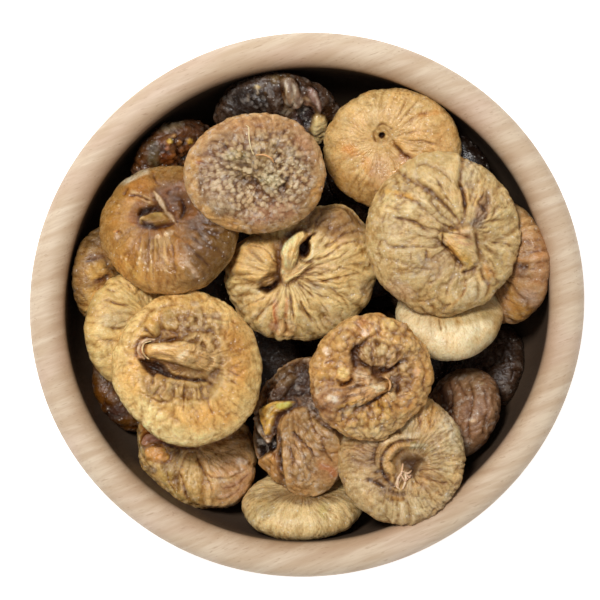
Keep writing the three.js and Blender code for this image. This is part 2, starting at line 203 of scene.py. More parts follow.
def curve_point(a, b, c, d, t):
    """Point a share t of the way from b to c, on the smooth curve through a, b, c and d."""
    bend = (2 * a - 5 * b + 4 * c - d) * t**2
    twist = (3 * b - a - 3 * c + d) * t**3
    return 0.5 * (2 * b + (c - a) * t + bend + twist)


def rounded_route(route, steps=6):
    """A smooth line through the points of a route."""
    spots = np.array(route, float)
    if len(spots) < 3:
        return spots
    ends = np.vstack([2 * spots[0] - spots[1], spots, 2 * spots[-1] - spots[-2]])
    line = []
    for i in range(1, len(ends) - 2):
        line += [curve_point(*ends[i - 1 : i + 3], k / steps) for k in range(steps)]
    line.append(ends[-2])
    return np.array(line)


def along_route(x, y, line):
    """For each point: distance to the line, its side, the share of the way along, and the values there."""
    legs = np.hypot(*(line[1:, :2] - line[:-1, :2]).T)
    starts = np.concatenate([[0], np.cumsum(legs)])
    gap = np.full(len(x), 1e9)
    side = np.ones(len(x))
    place = np.zeros(len(x))
    values = np.zeros((len(x), line.shape[1]))
    for k in range(len(line) - 1):
        ax, ay = line[k, :2]
        dx, dy = line[k + 1, :2] - line[k, :2]
        share = np.clip(((x - ax) * dx + (y - ay) * dy) / max(dx * dx + dy * dy, 1e-9), 0, 1)
        here = np.hypot(x - ax - share * dx, y - ay - share * dy)
        closer = here < gap
        gap = np.where(closer, here, gap)
        side = np.where(closer, np.sign(dx * (y - ay) - dy * (x - ax)), side)
        place = np.where(closer, (starts[k] + share * legs[k]) / starts[-1], place)
        values = np.where(closer[:, None], line[k] + share[:, None] * (line[k + 1] - line[k]), values)
    return gap, side, place, values


def fig(name, at, radii, thick, lean, **more):
    """A fig's shape, with the same numbers as in the solid model."""
    shape = dict(name=f"fig_{name}", at=at, radii=radii, thick=thick, lean=lean, turn=0, dish=1, pleat=0.015)
    shape.update(lump=0.3, necks=[], grain=MEDIUM)
    shape.update(more)
    return shape


def ring_of_figs(kind, first, ring, radii, turn):
    """Hidden figs in a ring, each leaning towards the middle."""
    figs = []
    for i in range(ring["count"]):
        angle = 360 / ring["count"] * i + ring["start"]
        lean = (angle + 180, ring["climb"])
        place = polar(ring["distance"], angle)
        figs.append(fig(f"{kind}_{first + i}", place, radii, 14, lean, turn=turn * i, grain=PLAIN))
    return figs


def hidden_figs():
    """Figs on the floor of the bowl, figs on those, and figs that fill the hollows between and round them."""
    figs = [fig("floor_1", (0, 0), (18, 17), 14, (0, 0), grain=PLAIN)]
    figs += ring_of_figs("floor", 2, FLOOR_RING, (17.5, 16.5), 50)
    figs += ring_of_figs("inner", 1, INNER_RING, (18, 17.5), 40)
    fillers = [(-1, 7), (0, -38), (-40, 4), (42, 8), (22, 42), (-15, 42), (2, 11)]
    for i, place in enumerate(fillers):
        name = f"inner_{INNER_RING['count'] + 1 + i}"
        figs.append(fig(name, place, (17, 16), 13, (90 * i, 4), turn=70 * i, grain=PLAIN))
    return figs


# The figs that are seen, as in the solid model: place, radii, thickness and lean, from the lowest up
SEEN_FIGS = [
    fig("low_right", (56.5, -20), (15.5, 15), 14, (160, 48)),
    fig("low_left_front", (-55, -26), (16, 15), 14, (25, 50), pleat=0.02),
    fig("low_right_back", (44.5, 40), (15.5, 15.5), 14, (222, 46)),
    fig("standing_right", (48, -34), (16, 15), 15, (155, 58), lump=0.6),
    fig("low_left", (-60.5, 9), (16.3, 16.5), 15, (-8, 54)),
    fig("low_back", (-9, 59), (20, 16), 14, (268, 46), lump=1.0, pleat=0.03),
    fig("low_back_left", (-40, 44), (16, 15), 14, (312, 46), lump=0.8),
    fig("low_front", (-1, -62), (19, 16), 14, (92, 58), pleat=0.025),
    fig("leaning_left", (-53, -8), (17, 18), 15, (5, 30), pleat=0.02),
    fig("leaning_right", (61, 13), (19.5, 19.5), 15, (188, 56), pleat=0.025),
    fig(
        "middle_front", (0, -36), (15.5, 17, 20, 17.5, 17.2, 20.5, 23, 19.5), 17, (190, 22),
        grain=FINE, lump=1.1, pleat=0.03,
        necks=[[(-9, 3, -1, 3.4), (-7, 9, 1, 2.6), (-3, 14, 1.5, 1.4)]],
    ),
    fig(
        "middle_front_left", (-35, -47), (19.5, 19, 18, 21.5, 18, 15.4, 17, 20.2), 16, (60, 20),
        grain=FINE, lump=0.6, pleat=0.02,
    ),
    fig(
        "middle_front_right", (29.9, -46.5), (18.3, 18.8, 20.4, 18.7, 20.7, 21.1, 20.7, 19), 16, (140, 10),
        grain=FINE, dish=3,
        necks=[[(8, 5.5, -2, 2.6), (-3, 4, 0, 3), (-6, -1.8, 0.2, 2.6), (-1.8, -5.2, -0.8, 1.1)]],
    ),
    fig("middle_right", (44, -3), (16.5, 17), 15, (95, 40), pleat=0.02),
    fig(
        "middle_centre", (-1.5, 11.2), (23.2, 24, 18.5, 18.4, 24, 24.5, 22.3, 22.7), 17, (275, 6),
        grain=FINE, pleat=0.03, lump=0.7,
        necks=[[(-6, -3, -1, 3.2), (-4, 5, 0.8, 2.7), (-0.8, 9.8, 1.6, 2), (2, 10.6, 0.6, 1)]],
    ),
    fig("middle_back_right", (26.2, 47.8), (21.5, 18.6), 17, (235, 9), grain=FINE, dish=2),
    fig(
        "middle_left", (-42.4, 23.4), (22, 21, 19.5, 20.8, 21.7, 20.3, 20.8, 21.9), 19, (130, 16),
        grain=FINE, dish=2.5, pleat=0.02,
        necks=[[(0.5, 5, -1.5, 2.3), (-6, 1.5, 0, 1.6)]],
    ),
    fig(
        "top_front", (19.2, -21.8), (18.9, 18.6, 19.2, 18.6, 18.6, 19.2, 19.5, 17.5), 15, (300, 6),
        grain=FINE, dish=2.5, lump=1.1, pleat=0.03,
        necks=[[(-11, -8, -2, 3.4), (-3, -4.8, 0.4, 2.8), (4.4, -2, 1.4, 1.5)]],
    ),
    fig(
        "top_left", (-36.6, -19.3), (22.9, 22.9, 23.8, 22.7, 23.2, 22.1, 24.1, 24.2), 16, (60, 6),
        grain=FINE, dish=2, pleat=0.02, lump=0.5,
        necks=[[(12, 0, -2.4, 4.6), (1, 3.6, 0.2, 4), (-8, 4.8, 1.2, 2.6), (-13.6, 5.2, 0.8, 1.6)]],
    ),
    fig(
        "top_right", (41.2, 21.3), (23.5, 23.8, 24.9, 23.9, 23.5, 24, 24.9, 24), 16, (200, 4),
        grain=FINE, lump=0.5,
        necks=[[(11.5, -8.6, -2.6, 5), (5.5, -3.6, 0, 3.6), (0.2, -0.6, 0.8, 1.4)]],
    ),
    fig("top_back", (-15.6, 39.6), (21.2, 18.6), 14, (255, 5), grain=FINE, dish=0.8, lump=0.6, pleat=0.01),
]


def outline(shape, angle):
    """Outline radius of a fig in a direction of its own plan."""
    name = shape["name"]
    radii = shape["radii"]
    if len(radii) == 2:
        wander = WANDER * (
            chance(name, 1) * np.cos(2 * angle + 3 * chance(name, 2))
            + chance(name, 3) * np.cos(3 * angle + 3 * chance(name, 4))
        )
        oval = radii[0] * radii[1] / np.hypot(radii[1] * np.cos(angle), radii[0] * np.sin(angle))
        return oval * (1 + wander)
    count = len(radii)
    place = (angle / (2 * math.pi)) % 1 * count
    before = np.floor(place).astype(int) % count
    blend = (1 - np.cos(math.pi * (place % 1))) / 2
    corners = np.array(radii)
    return corners[before] * (1 - blend) + corners[(before + 1) % count] * blend


def face_height(shape, angle, reach, side):
    """Height of the upper (side 1) or lower (side -1) face above the fig's middle plane."""
    crown = np.sqrt(np.maximum(0, 1 - reach**EDGE_FULLNESS))
    body = side * shape["thick"] / 2 * crown**FACE_POWER
    dish = shape["dish"] * np.where(side > 0, 1, UNDER_DISH) * np.exp(-((reach / DISH_SPREAD) ** 2))
    across = LUMP_PITCH[0] * reach * np.cos(angle) + math.pi * chance(shape["name"], 5)
    along = LUMP_PITCH[1] * reach * np.sin(angle) + math.pi * chance(shape["name"], 6)
    return body - side * dish + shape["lump"] * crown * np.sin(across) * np.sin(along)


def skin_points(shape, angle, slope, pleats):
    """Points of the fig's skin, lying flat at the origin. slope runs from 0 on top to pi below."""
    reach = np.minimum(np.abs(np.sin(slope)) ** (2 / EDGE_FULLNESS), 1)
    radius = outline(shape, angle) * reach * (1 + shape["pleat"] * np.cos(pleats * angle) * reach)
    height = face_height(shape, angle, reach, np.where(np.cos(slope) < 0, -1, 1))
    return np.stack([radius * np.cos(angle), radius * np.sin(angle), height], -1)


def lean_matrix(shape):
    """Turns a fig from lying flat to its lean."""
    direction = math.radians(shape["lean"][0])
    axis = Vector((-math.sin(direction), math.cos(direction), 0))
    leaned = Matrix.Rotation(math.radians(shape["lean"][1]), 3, axis)
    return np.array(leaned @ Matrix.Rotation(math.radians(shape["turn"]), 3, "Z"))


def resting_height(shape):
    """Height of the fig's middle, read off the CAD node: where its vertices lie against the formula's."""
    sides, levels = shape["grain"]
    angle, slope = np.meshgrid(
        2 * math.pi * np.arange(sides) / sides, math.pi * np.arange(1, levels) / levels, indexing="ij"
    )
    flat = skin_points(shape, angle.ravel(), slope.ravel(), sides / 2) @ lean_matrix(shape).T
    solid = np.array([v.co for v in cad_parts[shape["name"]].data.vertices]) / MM
    plan = flat[:, None, :2] + np.array(shape["at"]) - solid[None, :, :2]
    close = np.hypot(plan[..., 0], plan[..., 1]) < 0.05
    rises = (solid[None, :, 2] - flat[:, None, 2])[close]
    if len(rises) == 0:
        raise ValueError(f"{shape['name']} has no vertex where the formula puts one")
    return float(np.median(rises))


def even_slopes(shape, upper, lower):
    """Slopes of the rings, evenly spread along the skin above the edge and more widely below it."""
    slope = np.linspace(0, math.pi, 2001)
    side = np.where(slope > math.pi / 2, -1, 1)
    reach = np.minimum(np.abs(np.sin(slope)) ** (2 / EDGE_FULLNESS), 1)
    radius = np.mean(shape["radii"]) * reach
    height = side * shape["thick"] / 2 * np.maximum(0, 1 - reach**EDGE_FULLNESS) ** (FACE_POWER / 2)
    run = np.concatenate([[0], np.cumsum(np.hypot(np.diff(radius), np.diff(height)))])
    turning = run[int(TURNING * (len(slope) - 1))]
    places = np.concatenate(
        [np.linspace(0, turning, upper + 1)[1:], np.linspace(turning, run[-1], lower + 1)[1:-1]]
    )
    return np.interp(places, run, slope)


def inside_depth(x, y, corners):
    """Distance of points from a closed rounded outline, more than 0 inside it."""
    spots = np.array(corners, float)
    ring = np.vstack([spots[-1], spots, spots[0], spots[1]])
    line = []
    for i in range(1, len(spots) + 1):
        line += [curve_point(*ring[i - 1 : i + 3], t) for t in (0, 0.25, 0.5, 0.75)]
    line.append(line[0])
    line = np.array(line)
    gap, _, _, _ = along_route(x, y, line)
    inside = np.zeros(len(x), bool)
    for (ax, ay), (bx, by) in zip(line[:-1], line[1:]):
        if ay != by:
            inside ^= ((ay > y) != (by > y)) & (x < (bx - ax) * (y - ay) / (by - ay) + ax)
    return np.where(inside, gap, -gap)


class Skin:
    """The skin of one fig as a fine net of points, with the relief, the colour and the painted shade laid on
    it.
    """

    def __init__(self, shape, look):
        self.shape = shape
        self.around, upper, lower = MESH_OF_GRAIN[shape["grain"]]
        slopes = even_slopes(shape, upper, lower)
        self.rings = len(slopes)
        turn = 2 * math.pi * np.arange(self.around) / self.around
        slope, angle = np.meshgrid(slopes, turn, indexing="ij")
        smoother = dict(shape, pleat=SKIN_PLEAT * shape["pleat"])
        body = skin_points(smoother, angle.ravel(), slope.ravel(), shape["grain"][0] / 2)
        poles = skin_points(smoother, np.zeros(2), np.array([1e-9, math.pi - 1e-9]), 0)
        self.own = np.vstack([body, poles])
        self.normal = self.normals(body)
        self.turned = lean_matrix(shape)
        self.middle = np.array([*shape["at"], resting_height(shape)])
        placed = self.own @ self.turned.T + self.middle
        self.up = smooth(-0.05, 0.3, (self.normal @ self.turned.T)[:, 2])
        self.seed = abs(int(1000 * chance(shape["name"], 9))) + 7
        self.x = placed[:, 0] - shape["at"][0] + self.shift(1)
        self.y = placed[:, 1] - shape["at"][1] + self.shift(2)
        self.breaks = np.clip(0.65 + 0.7 * noise(self.own / 1.9, self.seed + 5), 0.1, 1.2)
        self.relief = np.zeros(len(self.own))
        self.height = np.zeros(len(self.own))
        # Painted shade from 0 to 1: darkening in creases, grooves, gaps between grains, pits and just outside
        # raised edges
        self.dark = np.zeros(len(self.own))
        self.bloom = np.full(len(self.own), float(look["bloom"]))
        self.colour = np.tile(linear(look["base"]), (len(self.own), 1))

    def shift(self, index):
        """A small wander that keeps drawn features from looking ruled."""
        slow = 0.3 * noise(self.own / 4, self.seed + index)
        return slow + 0.12 * noise(self.own / 1.1, self.seed + index + 2)

    def normals(self, body):
        """Outward directions of the points of the smooth body."""
        net = body.reshape(self.rings, self.around, 3)
        round_way = np.roll(net, -1, 1) - np.roll(net, 1, 1)
        down_way = np.gradient(net, axis=0)
        out = np.cross(down_way, round_way).reshape(-1, 3)
        out /= np.maximum(np.linalg.norm(out, axis=1, keepdims=True), 1e-9)
        return np.vstack([out, [[0, 0, 1], [0, 0, -1]]])

    def about(self, centre):
        """Direction and distance along the skin from a point of the fig's own plan."""
        x = self.own[:, 0] - centre[0]
        y = self.own[:, 1] - centre[1]
        distance = np.hypot(x, y)
        net = distance[:-2].reshape(self.rings, self.around)
        rim = MESH_OF_GRAIN[self.shape["grain"]][1] - 1
        edge = np.tile(net[rim], (self.rings, 1))
        below = np.arange(self.rings)[:, None] > rim
        run = np.where(below, 2 * edge - net, net).ravel()
        run = np.concatenate([run, [0, run.max()]]) - 0.8 * self.own[:, 2]
        return np.arctan2(y, x), distance, run

    def ribs(self, centre, count, depth, shade, stretch=9, start=3, keep=None):
        """Ribs that run out from the centre over the edge, with sharp creases between them."""
        self.seed += 11
        angle, distance, run = self.about(centre)
        bend = 0.16 * noise(self.own / 8, self.seed) + 0.05 * noise(self.own / 2.6, self.seed + 1)
        size = count / (2 * math.pi)
        places = np.stack([size * np.cos(angle + bend), size * np.sin(angle + bend), run / stretch], 1)
        wave = noise(places, self.seed + 2)
        strength = 0.4 + 0.6 * smooth(-0.6, 0.6, noise(self.own / 6, self.seed + 3))
        strength = strength * smooth(0.4 * start, 2 * start, distance)
        if keep is not None:
            strength = strength * keep
        rise = folded(wave)
        self.height += depth * strength * (rise - 0.6)
        self.relief += strength * (rise - 0.55) * min(1, 1.8 * depth)
        # Painted shade in the creases between the ribs
        self.dark = np.maximum(self.dark, 0.4 * shade * strength**3 * crease_line(wave))

    def crinkle(self, size, depth, shade):
        """Small folds with no direction."""
        self.seed += 11
        bend = np.stack([noise(self.own / (2 * size), self.seed + k) for k in range(3)], 1)
        wave = noise(self.own / size + 0.5 * bend, self.seed + 5)
        amount = 0.25 + 0.75 * smooth(-0.3, 0.6, noise(self.own / (4 * size), self.seed + 6))
        rise = folded(wave)
        self.height += depth * amount * (rise - 0.6)
        self.relief += 0.5 * amount * (rise - 0.55)
        # Painted shade in the creases of the folds
        self.dark = np.maximum(self.dark, shade * amount * crease_line(wave))

    def knobs(self, size, depth, shade, colour, strength, where):
        """Close-set rounded grains or knobs, as far as where is above 0."""
        self.seed += 11
        bend = np.stack([noise(self.own / (1.5 * size), self.seed + k) for k in range(3)], 1)
        gap, value = grains(self.own / size + 0.25 * bend, self.seed + 5)
        raised = np.sqrt(np.maximum(0, 1 - (gap / 0.75) ** 2))
        self.height += depth * where * raised * (0.4 + 0.8 * value)
        # Painted shade in the gaps between the grains
        self.dark = np.maximum(self.dark, shade * where * smooth(0.45, 0.8, gap))
        self.paint(colour, strength * where * smooth(0.35, 0.85, raised * (0.45 + 0.75 * value)))

    def beads(self, fields):
        """Grains in oval fields: size, depth, shade, colour, strength, then x, y, two radii and turn."""
        for size, depth, shade, colour, strength, *field in fields:
            where = smooth(1.25, 0.6, self.reach(*field)) * self.up
            self.knobs(size, depth, shade, colour, strength, where)

    def taper(self, place, share=0.25):
        """1 in the middle of a route, falling to 0 at its ends, and 0 on the skin's underside."""
        return smooth(0, share, np.minimum(place, 1 - place)) * self.up

    def creases(self, routes):
        """Creases in the skin, each given as width, depth and a route of points."""
        for width, depth, *route in routes:
            gap, side, place, _ = along_route(self.x, self.y, rounded_route(route))
            taper = self.taper(place) * self.breaks
            self.height -= depth * taper * np.exp(-gap / (0.8 * width))
            lip = np.where(side > 0, 0.35, 0.12)
            self.height += lip * depth * taper * np.exp(-(((gap - 1.8 * width) / (1.4 * width)) ** 2))
            # Painted shade along the crease, and more faintly beside it
            shade = min(0.95, 0.22 + 0.38 * depth)
            self.dark = np.maximum(self.dark, shade * taper * np.exp(-((gap / (0.65 * width)) ** 1.5)))
            self.dark = np.maximum(self.dark, 0.35 * shade * taper * np.exp(-gap / (1.8 * width)))

    def rolls(self, routes):
        """Raised folds, each given as half width, height and a route of points."""
        for width, rise, *route in routes:
            gap, _, place, _ = along_route(self.x, self.y, rounded_route(route))
            self.height += rise * self.taper(place) * smooth(1, 0, gap / width)

    def areas(self, shapes):
        """Parts raised or sunk inside an outline: rise, width of the edge, colour, strength, and the darkness
        of the shadow painted just outside a raised edge or of the shade painted in a sunk part.
        """
        for rise, edge, colour, strength, shade, *corners in shapes:
            depth = inside_depth(self.x, self.y, corners)
            raised = smooth(0, edge, depth) * self.up
            self.height += rise * raised
            self.paint(colour, strength * smooth(-0.2, 0.8, depth) * self.up)
            # Painted shadow just outside a raised part's edge, or painted shade inside a sunk part
            if rise > 0:
                line = shade * np.exp(-(((depth + 0.25) / 0.5) ** 2)) * self.up
                self.dark = np.maximum(self.dark * (1 - 0.7 * smooth(0, 0.6, depth)), line)
            else:
                self.dark = np.maximum(self.dark, shade * smooth(-0.1, 0.7 * edge, depth) * self.up)

    def lines(self, strokes):
        """Thin coloured streaks, each given as half width, colour, strength and a route of points."""
        for width, colour, strength, *route in strokes:
            gap, _, place, _ = along_route(self.x, self.y, rounded_route(route))
            amount = strength * self.taper(place, 0.2) * smooth(1.2, 0.4, gap / width)
            self.paint(colour, amount)
            self.dark *= 1 - 0.6 * amount

    def fans(self, fields):
        """Ribs inside an outline: middle, count, depth, shade, stretch and the points of the outline."""
        for centre, count, depth, shade, stretch, *corners in fields:
            keep = smooth(-0.4, 1.6, inside_depth(self.x, self.y, corners)) * self.up
            self.ribs(centre, count, depth, shade, stretch, start=1.5, keep=keep)

    def hollows(self, spots):
        """Pits and hollows, each given as x, y, two radii, turn, depth and the darkness of the shade painted
        in them.
        """
        for x, y, long, short, turn, depth, shade in spots:
            reach = self.reach(x, y, long, short, turn)
            self.height -= depth * self.up * smooth(1.15, 0.5, reach)
            self.dark = np.maximum(self.dark, shade * self.up * smooth(1.15, 0.75, reach))

    def domes(self, spots):
        """Single knobs, each given as x, y, radius, height and colour."""
        for x, y, radius, rise, colour in spots:
            rough = 0.3 * noise(self.own / (0.8 * radius), self.seed + 93)
            reach = self.reach(x, y, radius, radius, 0) + rough
            raised = np.sqrt(np.clip(1 - reach**2, 0, 1)) * self.up
            self.height += 0.8 * rise * raised
            self.dark *= 1 - 0.8 * smooth(0.2, 0.8, raised)
            self.paint(colour, 0.5 * smooth(0.1, 0.9, raised))

    def reach(self, x, y, long, short, turn):
        """Distance of each point from the middle of an oval, 1 on its outline."""
        cosine = math.cos(math.radians(turn))
        sine = math.sin(math.radians(turn))
        along = (self.x - x) * cosine + (self.y - y) * sine
        across = (self.y - y) * cosine - (self.x - x) * sine
        return np.hypot(along / long, across / short)

    def patches(self, spots):
        """Patches of colour, each given as x, y, two radii, turn, colour and strength."""
        rough = 0.3 * noise(self.own / 2.5, self.seed + 91) + 0.15 * noise(self.own / 0.9, self.seed + 92)
        for x, y, long, short, turn, colour, strength in spots:
            reach = self.reach(x, y, long, short, turn) + rough
            self.paint(colour, strength * self.up * smooth(1.3, 0.5, reach))

    def edge_tint(self, colour, strength):
        """Colour towards the fig's edge, on its upper face; where it is paler it is partly the skin's own rim
        and partly painted light on the rounded shoulder.
        """
        angle = np.arctan2(self.own[:, 1], self.own[:, 0])
        reach = np.hypot(self.own[:, 0], self.own[:, 1]) / outline(self.shape, angle)
        side = smooth(-0.35, 0.1, self.own[:, 2] / self.shape["thick"])
        self.paint(colour, strength * smooth(0.72, 0.97, reach) * side)

    def paint(self, colour, amount):
        """Mix a colour into the skin, by an amount from 0 to 1 for each point."""
        amount = np.clip(amount, 0, 1)[:, None]
        self.colour = self.colour * (1 - amount) + linear(colour) * amount

    def top_over(self, x, y):
        """Height of the upper face over places of the fig's own plan."""
        angle = np.arctan2(y, x)
        reach = np.minimum(1, np.hypot(x, y) / outline(self.shape, angle))
        return face_height(self.shape, angle, reach, 1)

    def points(self):
        """Skin points with their relief, in millimetres, placed in the bowl."""
        raised = self.own + self.normal * self.height[:, None]
        raised = self.with_necks(raised)
        self.rise = np.sum((raised - self.own) * self.normal, axis=1)
        return raised @ self.turned.T + self.middle

    def blurred(self, values, width):
        """Values on the skin evened out over a width in millimetres."""
        net = values[:-2].reshape(self.rings, self.around)
        radius = np.hypot(self.own[:-2, 0], self.own[:-2, 1]).reshape(net.shape).mean(1)
        waves = np.arange(self.around // 2 + 1)
        spread = np.exp(-0.5 * (waves * width / np.maximum(radius, 0.3)[:, None]) ** 2)
        net = np.fft.irfft(np.fft.rfft(net, axis=1) * spread, self.around, axis=1)
        upper_rings = MESH_OF_GRAIN[self.shape["grain"]][1]
        pitch = (np.mean(self.shape["radii"]) + self.shape["thick"] / 3) / upper_rings
        reach = max(1, round(2.5 * width / pitch))
        weights = np.exp(-0.5 * (np.arange(-reach, reach + 1) * pitch / width) ** 2)
        padded = np.pad(net, ((reach, reach), (0, 0)), "edge")
        even = sum(w * padded[k : k + self.rings] for k, w in enumerate(weights)) / weights.sum()
        return np.concatenate([even.ravel(), [even[0].mean(), even[-1].mean()]])

    def cavities(self):
        """How deep each point lies among its surroundings, from -1 on a ridge to 1 in a groove."""
        total = 0
        for width, full, share in (NEAR_HOLLOWS, WIDE_HOLLOWS):
            sunk = self.blurred(self.rise, width) - self.rise
            total = total + np.clip(sunk / full, -1, 1) * share
        return total

    def with_necks(self, raised):
        """The raised points, lifted to the fluted necks that lie on the upper face."""
        for neck in self.shape["necks"]:
            line = rounded_route(neck)
            gap, side, place, values = along_route(self.own[:, 0], self.own[:, 1], line)
            middle = self.top_over(values[:, 0], values[:, 1]) + values[:, 2]
            radius = values[:, 3]
            flutes = noise(np.stack([side * gap * 1.5, 5 * place, 0 * gap], 1), self.seed + 71)
            lift = np.sqrt(np.maximum(radius**2 - gap**2, 0)) + NECK_FLUTES * (np.abs(flutes) - 0.5)
            rough = NECK_ROUGHNESS * noise(self.own / 1.9, self.seed + 72)
            lift = lift - NECK_SINK * smooth(0.6, 0, place) + rough
            inside = (gap < radius) & (self.own[:, 2] > 0)
            top = np.where(inside, middle + lift + self.height, -1e3)
            raised[:, 2] = np.maximum(raised[:, 2], top)
        return raised


